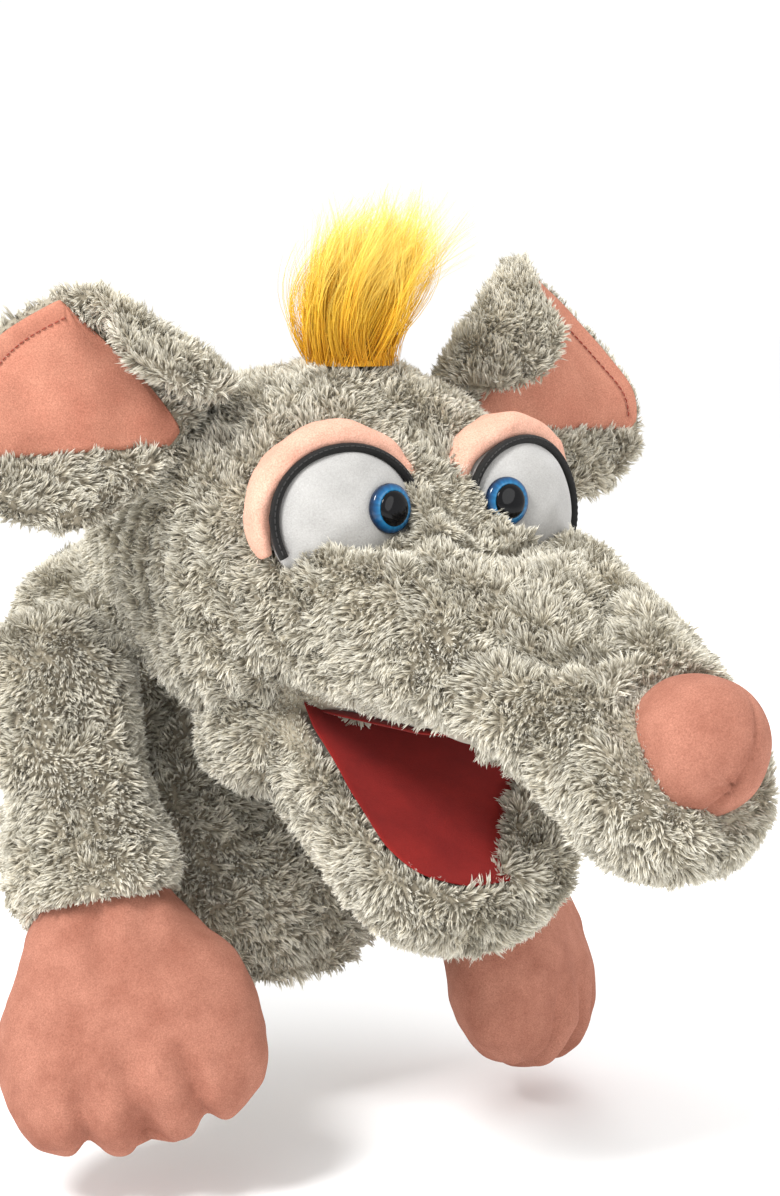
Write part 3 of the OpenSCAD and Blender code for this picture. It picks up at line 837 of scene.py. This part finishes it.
def sheet_between(name, outline, height, place, rows=26, cols=18, thick=1.4):
    """A closed sheet. outline gives the reach to the right and to the left at each distance, and
    height gives its level."""
    d = np.linspace(outline[0][0], outline[-1][0], rows)
    right, left = (np.interp(d, [o[0] for o in outline], [o[i] for o in outline]) for i in (1, 2))
    u = np.linspace(0, 1, cols)
    spots = [(k * (a + b) - a, s) for s, a, b in zip(d, right, left) for k in u]
    top = np.array([[x, height(x, s), s] for x, s in spots])
    verts = np.concatenate([top, top - [0, thick, 0]])
    return new_object(name, place(verts) * MM, leaf_faces(rows, cols))


floor_outline = [
    (-12, 46, 46), (6, 50, 50), (24, 50, 48), (40, 50, 42), (56, 48, 34), (70, 46, 25), (82, 40, 14),
    (90, 32, 8), (97, 16, 2),
]
mouth_floor = sheet_between(
    "mouth_floor", floor_outline,
    lambda x, s: -0.6 + 1.8 * min(1, (abs(x) / 48) ** 3) + 1.2 * max(0, (s - 80) / 16) ** 2,
    lambda p: jaw_place(p + np.outer(jaw_skew(p[:, 2]), [1, 0, 0])),
    thick=1.0,
)
subdivided(mouth_floor, 1)
put(mouth_floor, "jaw", "red_lining", RED, "mouth_floor_lining")
palate_outline = [(s, w, w) for s, w in ((150, 40), (172, 42), (230, 41), (246, 34), (256, 22), (260, 8))]
palate = sheet_between("palate", palate_outline, lambda x, s: 104.0 - 1.5 * min(1, (abs(x) / 41) ** 3), forward)
subdivided(palate, 1)
put(palate, "head", "red_lining", RED, "palate_lining")


# ---- Nose ----


def make_nose():
    ob = ball("nose_velour", NOSE, np.array([NOSE_R, NOSE_R, NOSE_R]), 96)
    v = points(ob)
    c = NOSE * MM
    n = unit(v - c)
    # Two panels meet in a seam, whose cloth is gathered low on the puppet's left.
    spot = unit([-0.12, -0.84, -0.45])
    off = n @ unit(np.cross(spot, [0.4, -0.3, 0.85]))
    v -= n * (np.exp(-(off / 0.03) ** 2) * 1.2 * MM)[:, None]
    near = np.exp(-(1 - n @ spot) / 0.06)
    turn = np.arctan2(n @ unit(np.cross(spot, [0, 0, 1])), n @ unit(np.cross(spot, [1, 0, 0])))
    v += n * (near * np.sin(turn * 6 + 1.0) * 1.2 * MM - near * 1.9 * MM)[:, None]
    v += n * (Waves(0.03, 41)(v) * 0.35 * MM)[:, None]
    set_points(ob, v)
    return ob


put(make_nose(), "head", "pink_velour", PINK_DEEP, "nose_skin", "nose_stuffing", fill=1.0)


# ---- Eyes ----


def overhang(angle):
    """How far the lid hangs over the pad: fully at the top, and not at all at the sides."""
    return np.maximum(0, np.sin(angle)) ** 2


def make_eye(side):
    label = SIDE_NAMES[side]
    place = eye_place(side)

    def placed(ob, slot, mat, *nodes, fill=None):
        set_points(ob, place(points(ob) / MM))
        if side < 0:
            ob.data.flip_normals()
        put(ob, "head", slot, mat, *nodes, fill=fill)

    pad = ball(f"{label}_eye_white", np.zeros(3), np.array([EYE_R, EYE_R, EYE_DEPTH]), 96)
    v = points(pad)
    v[:, 2] += smoothstep(v[:, 2], 0, EYE_DEPTH * MM) * 0.4 * MM * Waves(0.02, 51)(v)
    set_points(pad, v)
    placed(pad, "white_fleece", WHITE, f"{label}_eye_pad", fill=0.9)

    # The lid: an arch of padded velour round the top of the pad, thicker in its middle.
    a = np.radians(np.linspace(-24, 170, 60))
    share = np.linspace(0, 1, 60)
    thick = 0.35 + 0.65 * np.sin(np.pi * np.clip(share * 0.94 + 0.03, 0, 1)) ** 0.55
    ring_a = np.arange(28) * 2 * math.pi / 28
    verts = []
    for t, k in zip(a, thick):
        hang = overhang(t)
        out, deep = 5.0 * k + 1.8 * hang, 9.5 * k + 1.5 * hang
        r = EYE_R + 3.8 - 1.8 * hang + out * signed_power(np.cos(ring_a), 0.85)
        z = -4.2 + 3.0 * hang + deep * signed_power(np.sin(ring_a), 0.85)
        verts.append(polar(r, t, z))
    lid = new_object(f"{label}_lid_velour", np.concatenate(verts) * MM, closed_faces(len(a), len(ring_a)))
    v = points(lid)
    push(lid, Waves(0.018, 52)(v) * 0.35 + Waves(0.007, 53)(v) * 0.14)
    subdivided(lid, 1)
    placed(lid, "pink_velour", PINK_LIGHT, f"{label}_eyelid", fill=0.8)

    # The cord along the lid's front edge, and the stitches that hold it.
    t = np.radians(np.linspace(-27, 172, 150))
    cord_r = EYE_R + 0.9 - 3.6 * overhang(t)
    path = polar(cord_r, t, 6.6 + 3.2 * overhang(t))
    cord = tube(f"{label}_piping", path * MM, 1.9 * MM, 14)
    placed(cord, "black_piping", CORD, f"{label}_lid_piping")
    ticks = []
    for k in range(42):
        at = np.radians(-24 + 193 * k / 42 + np.linspace(0, 3.1, 4))
        rise = 8.35 + 3.2 * overhang(at) + 0.25 * np.sin(np.linspace(0, math.pi, 4))
        thread_r = EYE_R + 1.4 - 3.6 * overhang(at)
        ticks.append(tube("stitch", polar(thread_r, at, rise) * MM, 0.24 * MM, 6))
    placed(joined(f"{label}_lid_stitches", ticks), "black_piping", BLACK_THREAD)

    # The plastic eye: a turned profile for the iris and one for the pupil.
    turn = rotation(1, IRIS_AIM[0]) @ rotation(0, IRIS_AIM[1])

    def lathe(name, profile):
        verts = turned(profile, 64)
        radius = np.hypot(verts[:, 0], verts[:, 1])
        angle = np.arctan2(verts[:, 1], verts[:, 0])
        shift = IRIS_SHIFT + side * IRIS_SIDEWAYS
        place = (verts + [0, 0, EYE_DEPTH - 0.6]) @ turn.T + shift
        ob = new_object(name, place * MM, closed_faces(len(profile), 64))
        spoke = 0.5 + 0.3 * np.sin(angle * 37) * np.sin(angle * 11 + 2) + 0.2 * np.sin(angle * 23)
        add_attributes(ob.data, {"from_centre": radius / IRIS_R, "spoke": spoke})
        return ob

    iris_profile = [
        (3, -13), (3, -0.2), (9.6, -0.2), (10.0, 0.3), (10.0, 1.6), (9.75, 2.4), (9.2, 2.95), (8.4, 3.4),
        (7.6, 3.7), (7.05, 3.8), (7.05, 3.1), (0.3, 3.1),
    ]
    placed(lathe(f"{label}_iris", iris_profile), "iris_plastic", IRIS, f"{label}_eye_iris")
    pupil_profile = [
        (0.2, 2.95), (7.0, 2.95), (7.0, 3.9), (6.6, 4.4), (5.7, 4.85), (4.1, 5.2), (2.1, 5.4), (0.2, 5.45),
    ]
    placed(lathe(f"{label}_pupil", pupil_profile), "pupil_plastic", PUPIL, f"{label}_eye_pupil")


for side in (-1, 1):
    make_eye(side)


# ---- Hair ----


def make_hair():
    """Long silky locks from a round root, which flare upwards and lean to the puppet's left."""
    rng = np.random.default_rng(61)
    radius, root_z = HAIR_TOP[0], HAIR_TOP[2]
    centre = np.array([0.0, HAIR_CENTRE[1], root_z])
    high = corners("hair_tuft")[1][2] / MM - root_z
    locks, per_lock, parts = (260), 26, 9
    t = np.linspace(0, 1, parts)
    verts, tones = [], []
    for _ in range(locks):
        a, r = rng.uniform(0, 2 * math.pi), radius * math.sqrt(rng.uniform()) * 0.98
        base = np.array([r * math.cos(a), r * math.sin(a), -2.0])
        out = base[:2] / radius
        long = high * rng.uniform(0.74, 1.12) * (1.05 - 0.15 * (r / radius) ** 2)
        lean = out * rng.uniform(0.0, 0.24) * long + rng.normal(size=2) * 0.06 * long
        lean += np.array([0.2, -0.08]) * long * (1.3 if rng.uniform() < 0.3 else 0.8)
        bend = rng.normal(size=2) * 0.09 * long
        tip_gather = rng.uniform(0.3, 1.3)
        tone0 = rng.normal() * 0.12 + 0.5
        for _ in range(per_lock):
            off = rng.normal(size=2) * 1.5
            loose = rng.normal(size=2) * tip_gather * (2.6 if rng.uniform() < 0.15 else 1.0)
            own = long * rng.uniform(0.72, 1.05)
            xy = base[:2] + np.outer(1 - 0.6 * t, off) + np.outer(t**1.5, lean)
            xy += np.outer(np.sin(t * 3.0), bend) + np.outer(t**2 * 2, loose)
            p = np.column_stack([xy, base[2] + own * t * (1 - 0.12 * t)]) + centre
            d = unit(np.gradient(p, axis=0))
            w = unit(np.cross(d, rng.normal(size=3))) * (0.17 * (1 - 0.8 * t))[:, None]
            verts.append(np.stack([p - w, p + w], 1).reshape(-1, 3))
            tones.append(np.clip(tone0 + rng.normal() * 0.1, 0, 1))
    # Two objects, each with half the strands. Two objects, each small enough to export
    # whole.
    quads = np.arange(parts - 1)[:, None] * 2 + np.array([0, 1, 3, 2])
    half = len(verts) // 2
    made = []
    for i, part in enumerate((slice(half), slice(half, None))):
        n = len(verts[part])
        faces = (np.arange(n)[:, None, None] * parts * 2 + quads).reshape(-1, 4)
        values_of = {"along": np.tile(np.repeat(t, 2), n), "tone": np.repeat(tones[part], parts * 2)}
        made.append(array_object(f"hair_{i + 1}", np.concatenate(verts[part]) * MM, faces, values_of))
    return made


hair = make_hair()
put(hair[0], "head", "gold_hair", GOLD_FUR, "hair_tuft")
put(hair[1], "head", "gold_hair", GOLD_FUR)
paint(frame["nodes"]["hair_backing"], GOLD_CLOTH)


# ---- Ears ----

EAR_PATTERN = [
    [-55, 14, 32], [-48, 2, 44], [-38, -8, 52], [-20, -12, 66], [0, -11, 75], [25, -11, 81],
    [50, -8, 80], [73, 2, 74], [86, 20, 60], [90, 34, 46],
]
EAR_UP = unit([46, 16, 44])
EAR_OUT = unit(np.cross(EAR_UP, [0.25, -0.93, 0.2]))
EAR_FRONT = unit(np.cross(EAR_OUT, EAR_UP))
ROLL_R, ROLL_TURN, EAR_CUP = 14.0, math.radians(150), 12.0
RIGHT_EAR_DROP = 10.5
EAR_SEAM_INSET = 9.0


def ear_point(across, along, height):
    """A point of the rolled cloth of the left ear: across it, along its fold, and above its back."""
    turn = np.minimum(np.maximum(0, -across) / ROLL_R, ROLL_TURN)
    rest = np.maximum(0, -across - ROLL_R * ROLL_TURN)
    r = ROLL_R - height
    sideways = np.maximum(0, across) - r * np.sin(turn) - rest * np.cos(turn)
    ahead = ROLL_R - r * np.cos(turn) + rest * np.sin(turn) + EAR_CUP * (np.maximum(0, across) / 86) ** 2
    return EAR_ROOT / MM + sideways[:, None] * EAR_OUT + ahead[:, None] * EAR_FRONT + along[:, None] * EAR_UP


def ear_wobble(p):
    return (Waves(0.06, 71)(p) * 1.3 + Waves(0.025, 72)(p) * 0.5) * MM


def lining_low(across):
    """The lower edge of the pink lining: a slanting line over the ear's pattern."""
    return -11.0 + 0.97 * (across - 18.0)


def ear_leaf(name, rows, low, high, bulge, inset=0.0, start=None, dimple=0.0):
    """A closed leaf between two heights over the pattern, rounded off at its edge. The along and
    across place of each vertex is kept as attributes for the pile and the seam."""
    table = refined(EAR_PATTERN, 8)
    if start is not None:
        table = table[table[:, 0] > start]
    if inset:
        table[:, 1] = np.maximum.reduce([table[:, 1] + inset, lining_low(table[:, 0]), 52 - 5 * table[:, 0]])
        table[:, 2] -= 2.5
    table = table[(table[:, 2] - table[:, 1]) > 4]
    side_cut = 1 - inset / 250
    m, cols = rows + 1, len(table)
    grid = np.array([[a * side_cut, lo + (hi - lo) * k / rows] for a, lo, hi in table for k in range(m)])
    i = np.repeat(np.arange(cols), m)
    k = np.tile(np.arange(m), cols)
    # How far each grid point is from the leaf's edge, in grid steps scaled to mm.
    span = (table[:, 2] - table[:, 1])[i] / rows
    col_step = np.abs(np.gradient(table[:, 0]))[i]
    edge = np.minimum(np.minimum(k, rows - k) * span, np.minimum(i, cols - 1 - i) * col_step)
    round_off = np.sqrt(1 - (1 - np.clip(edge / 4.0, 0, 1)) ** 2)
    mid = (low + high) / 2
    p_low = ear_point(grid[:, 0], grid[:, 1], mid - (mid - low) * round_off - bulge * smoothstep(edge, 2, 20))
    top = mid + (high - mid) * round_off + dimple * smoothstep(edge, 3, 18)
    below = lining_low(grid[:, 0]) - grid[:, 1]
    if not inset:
        top = top + 5.0 * smoothstep(below, -1, 9) * smoothstep(edge, 1, 9) * smoothstep(grid[:, 0], 0, 20)
    p_high = ear_point(grid[:, 0], grid[:, 1], top)
    ob = new_object(name, np.concatenate([p_low, p_high]) * MM, leaf_faces(cols, m))
    both = {"edge": edge, "across": grid[:, 0], "along": grid[:, 1], "below": below, "outer": (rows - k) * span}
    add_attributes(ob.data, {key: np.tile(values, 2) for key, values in both.items()})
    add_attributes(ob.data, {"face": np.repeat([0.0, 1.0], len(grid))})
    v = points(ob)
    set_points(ob, v + EAR_FRONT * ear_wobble(v)[:, None])
    return ob


def attribute(ob, name):
    out = np.empty(len(ob.data.vertices), np.float32)
    ob.data.attributes[name].data.foreach_get("value", out)
    return out


def ear_stitches(name):
    """A run of stitches in the groove inside the lining's outer edge."""
    table = refined(EAR_PATTERN, 16)
    table = table[(table[:, 0] > 2) & (table[:, 0] < 82)]
    level = np.full(len(table), 8.3)
    p = ear_point(table[:, 0] * 0.984, table[:, 2] - 2.5 - EAR_SEAM_INSET, level) * MM
    p += EAR_FRONT * ear_wobble(p)[:, None]
    run = np.concatenate([[0], np.cumsum(np.linalg.norm(np.diff(p, axis=0), axis=1))]) / MM
    made = []
    for start in np.arange(1.0, run[-1] - 3, 3.1):
        at = np.linspace(start, start + 2.1, 5)
        q = np.stack([np.interp(at, run, p[:, i]) for i in range(3)], 1)
        q += EAR_FRONT * (np.sin(np.linspace(0, math.pi, 5)) * 0.5 - 0.2)[:, None] * MM
        made.append(tube("stitch", q, 0.36 * MM, 6))
    return joined(name, made)


def make_ear(side):
    label = SIDE_NAMES[side]
    seed = 80 if side > 0 else 90
    back = ear_leaf(f"{label}_ear_plush", 26, 0.0, 6.0, 2.0)
    stitches = ear_stitches(f"{label}_ear_stitches")
    lining = ear_leaf(f"{label}_ear_velour", 40, 5.2, 8.0, 0.0, inset=4.0, start=-20, dimple=1.2)
    # The seam sewn just inside the lining's outer edge: a groove and a run of stitches.
    groove = np.exp(-((attribute(lining, "outer") - EAR_SEAM_INSET) / 1.3) ** 2)
    groove *= (attribute(lining, "face") > 0.5) * (attribute(lining, "across") > -4)
    push(lining, -1.1 * groove)
    edge, across, face = attribute(back, "edge"), attribute(back, "across"), attribute(back, "face")
    below = attribute(back, "below")
    rim = np.maximum(0.7 * (1 - smoothstep(edge, 1.0, 3.0)), smoothstep(below, -2.0, 1.0))
    inside = np.maximum(rim, smoothstep(52 - 5 * across - attribute(back, "along"), -8, 2))
    mask = np.where(face > 0.5, inside, 1.0)
    if side < 0:
        for ob in (back, lining, stitches):
            mirror(ob)
        # The right ear hangs a little lower at its top than the left one.
        high = points(back)[:, 2].max()
        for ob in (back, lining, stitches):
            v = points(ob)
            v[:, 2] -= RIGHT_EAR_DROP * MM * smoothstep(v[:, 2], EAR_ROOT[2], high)
            set_points(ob, v)
    subdivided(lining, 1)
    ear = f"{label}_ear"
    pile(f"{label}_ear_pile", back, mask, ear, seed=seed, flow=(0, 0.3, 0.5), length=5.8)
    put(back, ear, "grey_plush", GREY_CLOTH, f"{label}_ear_back")
    put(lining, ear, "pink_velour", PINK, f"{label}_ear_lining")
    put(stitches, ear, "pink_velour", THREAD)


for side in (-1, 1):
    make_ear(side)


# ---- Torso and neck ----

TORSO = [
    [0, 0, 78, 84, 80], [30, 0, 79, 87, 79], [60, 0, 79, 88, 72], [90, 0, 79, 88, 55],
    [114, 0, 76, 84, 42], [136, 0, 62, 68, 32],
]
HEM_DROP = 38
NECK_BALL_R, LEAST_NECK_R = 59.0, 60.8


def make_torso():
    body = loft("torso", TORSO, upright, n=96, steps=8, drop=HEM_DROP)
    neck = ball("neck", NECK / MM, (NECK_BALL_R, NECK_BALL_R, NECK_BALL_R), 64)
    ridge = ball("ridge", (0, 22, 122), (70, 46, 34), 48)
    ob = remeshed(joined("torso_plush", [body, neck, ridge]), 3.0 * MM)
    relaxed(ob, 8)
    v = points(ob)
    n = normals(ob)
    # Soft folds that run down from the shoulders.
    angle = np.arctan2(v[:, 1], v[:, 0])
    drape = np.sin(angle * 11 + 1.8 * Waves(0.1, 104)(v)) * smoothstep(v[:, 2], -0.02, 0.03)
    drape *= (1 - smoothstep(v[:, 2], 0.09, 0.15)) * smoothstep(np.hypot(v[:, 0], v[:, 1]), 0.055, 0.065)
    v += n * (drape * 1.8 + Waves(0.07, 101)(v) * 2.0 + Waves(0.03, 102)(v) * 0.7)[:, None] * MM
    # The ball of the neck is never thinner than this, so the lining inside stays under the cloth.
    arm = v - NECK
    reach = np.linalg.norm(arm, axis=1)
    least = (LEAST_NECK_R + 0.4 * Waves(0.03, 103)(v)) * MM
    v = np.where((reach < least)[:, None], NECK + arm / reach[:, None] * least[:, None], v)
    set_points(ob, v)
    return ob


def hem_level(v):
    """How far above the hem's lower edge each point is, in mm."""
    return v[:, 2] / MM + HEM_DROP * (HEM_BACK - v[:, 1] / MM) / HEM_SPAN


def torso_mask(ob):
    v = points(ob)
    n = normals(ob)
    above = hem_level(v)
    groove = 1 - 0.75 * np.exp(-((above - 11) / 1.8) ** 2)
    mask = groove * smoothstep(above, -1, 3)
    mask[(n[:, 2] < -0.6) & (above < 8)] = 0
    inner = np.hypot(v[:, 0], v[:, 1]) < 0.05
    mask[inner & (v[:, 2] < 0.05)] = 0
    mask[(v[:, 2] > 0.155) & (v[:, 1] < -0.045)] = 0
    for side in (-1, 1):
        arm = v - SHOULDER * [side, 1, 1]
        mask[(np.linalg.norm(arm, axis=1) < 0.024) & (np.abs(v[:, 0]) > 0.07)] = 0
    return mask


NECK_BEND = ("torso", "neck", (0, 0, 0.126), (0, 0, 0.152))


def open_bottom(ob):
    """Takes away the floor of the remeshed torso inside the hem, where the sleeve opens."""
    v, n = points(ob), normals(ob)
    floor = (n[:, 2] < -0.5) & (np.hypot(v[:, 0], v[:, 1]) < 0.050) & (v[:, 2] < 0.02)
    cut, rest = split(ob, floor, ("cut_floor", "torso_plush"))
    remove(cut)
    return rest


torso_skin = make_torso()
pile("torso_pile", torso_skin, torso_mask(torso_skin), NECK_BEND, seed=21, flow=(0, 0.1, -0.75), length=6.0)
torso_skin = open_bottom(torso_skin)
put(torso_skin, NECK_BEND, "grey_plush", GREY_CLOTH, "body_skin", "body_padding", "hem_band", "neck_skin",
    fill=0.6)


# ---- Arms and paws ----

ARM_R, ARM_SPLAY, CUFF, PAW_TURN = 31.0, math.radians(2), 98.0, math.radians(34)
ARM_LEAN = {-1: math.radians(26), 1: math.radians(18)}
PAW = [
    [-32, 0, 20, 18, 18], [-22, 0, 27, 23, 23], [-12, 0, 34, 25, 25], [2, 0, 43, 26, 26], [20, 0, 52, 28, 28],
    [42, 0, 55, 29, 29], [60, 0, 50, 26, 26], [72, 0, 40, 20, 20], [79, 0, 24, 11, 11], [81, 0, 8, 4, 4],
]
FINGER_CREASES = (-22, 4.0), (1, 4.2), (23, 4.0)


def arm_place(p, side):
    turn = rotation(1, -ARM_SPLAY) @ rotation(0, -ARM_LEAN[side])
    return p @ turn.T + SHOULDER / MM


def paw_place(p, side):
    q = p @ (rotation(2, PAW_TURN) @ rotation(0, math.pi)).T
    return arm_place(q + [0, 0, -CUFF - 20], side)


def make_arm(side):
    label = SIDE_NAMES[side]
    dome = [math.radians(b) for b in range(85, 0, -6)]
    shoulder = [(ARM_R * math.cos(b), 29 * math.sin(b)) for b in dome]
    sleeve = [
        (0, 0), (-2.5, -20), (-4, -45), (-2.5, -66), (0.5, -84), (1, -95), (-1, -98.5), (-5, -98), (-8, -94),
        (-10, -84),
    ]
    profile = np.array(shoulder + [(ARM_R + more, z) for more, z in sleeve])
    table = []
    for here, after in zip(profile, profile[1:]):
        steps = 3 if abs(after[1] - here[1]) > 8 else 1
        table += [here * (1 - s / steps) + after * (s / steps) for s in range(steps)]
    table.append(profile[-1])
    n = 72
    verts = turned(table, n)
    ob = new_object(f"{label}_arm_plush", arm_place(verts, side) * MM, closed_faces(len(table), n, True))
    v = points(ob)
    down = -verts[:, 2]
    # Soft folds across the sleeve, deepest inside the elbow.
    fold = np.sin(down / 9.0 + 1.5 * Waves(0.05, 111)(v)) * np.exp(-((down - 48) / 24) ** 2)
    push(ob, fold * 1.5 + Waves(0.045, 112)(v) * 1.4)
    relaxed(ob, 2)
    mask = smoothstep(96.5 - down, -2.5, 0)
    mask *= 1 - 0.6 * np.exp(-((down - 92) / 1.4) ** 2)
    mask = np.where(down > 97.5, 0.5, mask)
    r_here = np.hypot(verts[:, 0], verts[:, 1])
    mask[(down > 93) & (r_here < ARM_R - 3)] = 0
    v = points(ob)
    mask[v[:, 0] < 0.0755] = 0
    if side < 0:
        mirror(ob)
    arm = f"{label}_arm"
    pile(f"{label}_arm_pile", ob, mask, arm, seed=121 + side, flow=(0, 0, -0.8), length=5.8)
    put(ob, arm, "grey_plush", GREY_CLOTH, f"{label}_arm_skin", f"{label}_arm_stuffing", fill=0.8)


def make_paw(side):
    label = SIDE_NAMES[side]
    ob = loft(f"{label}_paw_velour", PAW, upright, n=96, steps=6, up=2.2, down=2.2)
    p = points(ob) / MM
    # Three creases part four short fingers, and a seam runs round the mitten's edge.
    tip = smoothstep(p[:, 2], 34, 74)
    for at, wide in FINGER_CREASES:
        bend = at + (p[:, 2] - 60) * at * 0.004
        crease = np.exp(-((p[:, 0] - bend) / wide) ** 2) * tip
        p[:, 1] *= 1 - 0.42 * crease
        p[:, 2] -= 9.0 * np.exp(-((p[:, 0] - bend) / (wide * 1.3)) ** 2) * smoothstep(p[:, 2], 62, 80)
    set_points(ob, p * MM)
    n = normals(ob)
    p = points(ob) / MM
    seam = np.exp(-(p[:, 1] / 0.9) ** 2) * smoothstep(np.abs(p[:, 0]), 18, 26)
    p -= n * (seam * 0.9)[:, None]
    p += n * (Waves(0.03, 131)(p * MM) * 0.6 + Waves(0.012, 132)(p * MM) * 0.2)[:, None]
    # Puckers where the paw is gathered into the cuff.
    angle = np.arctan2(p[:, 1], p[:, 0])
    p += n * (np.sin(angle * 9 + 0.6) * np.exp(-((p[:, 2] + 4) / 12) ** 2) * 0.9)[:, None]
    set_points(ob, paw_place(p, side) * [side, 1, 1] * MM)
    if side < 0:
        ob.data.flip_normals()
    subdivided(ob, 1)
    wrist = JOINTS[f"{label}_paw_flex"]
    ends = paw_place(np.array([[0, 0, 0.0], [0, 0, 10.0]]), side) * [side, 1, 1]
    down = unit(ends[1] - ends[0])
    bend = (f"{label}_arm", f"{label}_paw", wrist - down * 18 * MM, wrist + down * 2 * MM)
    put(ob, bend, "pink_velour", PINK_DEEP, f"{label}_paw_skin", f"{label}_paw_stuffing", fill=0.85)


for side in (-1, 1):
    make_arm(side)
    make_paw(side)


# ---- The pieces that stay as the CAD made them ----

for name, mat in (
    ("sleeve_lining", LINING), ("neck_lining", LINING), ("finger_pocket", LINING), ("thumb_pocket", LINING),
    ("palate_board", BOARD), ("jaw_board", BOARD),
    ("left_eye_washer", WASHER), ("right_eye_washer", WASHER),
):
    paint(frame["nodes"][name], mat)


# ---- Floor, light and camera ----


def stage_set():
    low = CAD_BOX[0].z - 0.012
    floor = new_object("floor", [(-9, -9, low), (9, -9, low), (9, 9, low), (-9, 9, low)], [[0, 1, 2, 3]])
    m, nt, p = material("floor_paper")
    nt.links.new(
        ramp(nt, noise(nt, 3.0, 2.0), [(0.3, (0.96, 0.96, 0.96)), (0.7, (0.98, 0.98, 0.98))]),
        p.inputs["Base Color"],
    )
    p.inputs["Roughness"].default_value = 0.9
    paint(floor, m)

    world = bpy.data.worlds.new("studio")
    world.use_nodes = True
    world.node_tree.nodes["Background"].inputs["Color"].default_value = (1, 1, 1, 1)
    world.node_tree.nodes["Background"].inputs["Strength"].default_value = 1.04
    bpy.context.scene.world = world

    def area(name, place, target, size, power, colour=(1, 1, 1)):
        data = bpy.data.lights.new(name, "AREA")
        data.shape, data.size, data.energy, data.color = "DISK", size, power, colour
        ob = linked(name, data)
        ob.location = place
        ob.rotation_euler = (Vector(target) - Vector(place)).to_track_quat("-Z", "Y").to_euler()

    middle = (CAD_BOX[0] + CAD_BOX[1]) / 2
    area("key", (-1.5, -0.5, 1.7), middle, 0.7, 50)
    area("fill", (0.6, -1.9, 0.7), middle, 1.2, 8)
    area("rim", (1.2, 1.3, 1.2), middle, 1.0, 10)


def make_camera():
    """At the photograph's angle: 36 degrees round from the front to the puppet's right, 7 degrees up."""
    data = bpy.data.cameras.new("camera")
    data.lens, data.sensor_width = 82.8, 36.0
    cam = linked("camera", data)
    round_, up = math.radians(36), math.radians(7)
    target = Vector((-0.0208, -0.1835, 0.1483))
    back = Vector((-math.sin(round_) * math.cos(up), -math.cos(round_) * math.cos(up), math.sin(up)))
    cam.location = target + back * 1.1
    cam.rotation_euler = (math.pi / 2 - up, 0, -round_)
    bpy.context.scene.camera = cam


stage_set()
make_camera()
bpy.context.scene.view_settings.view_transform = "Standard"
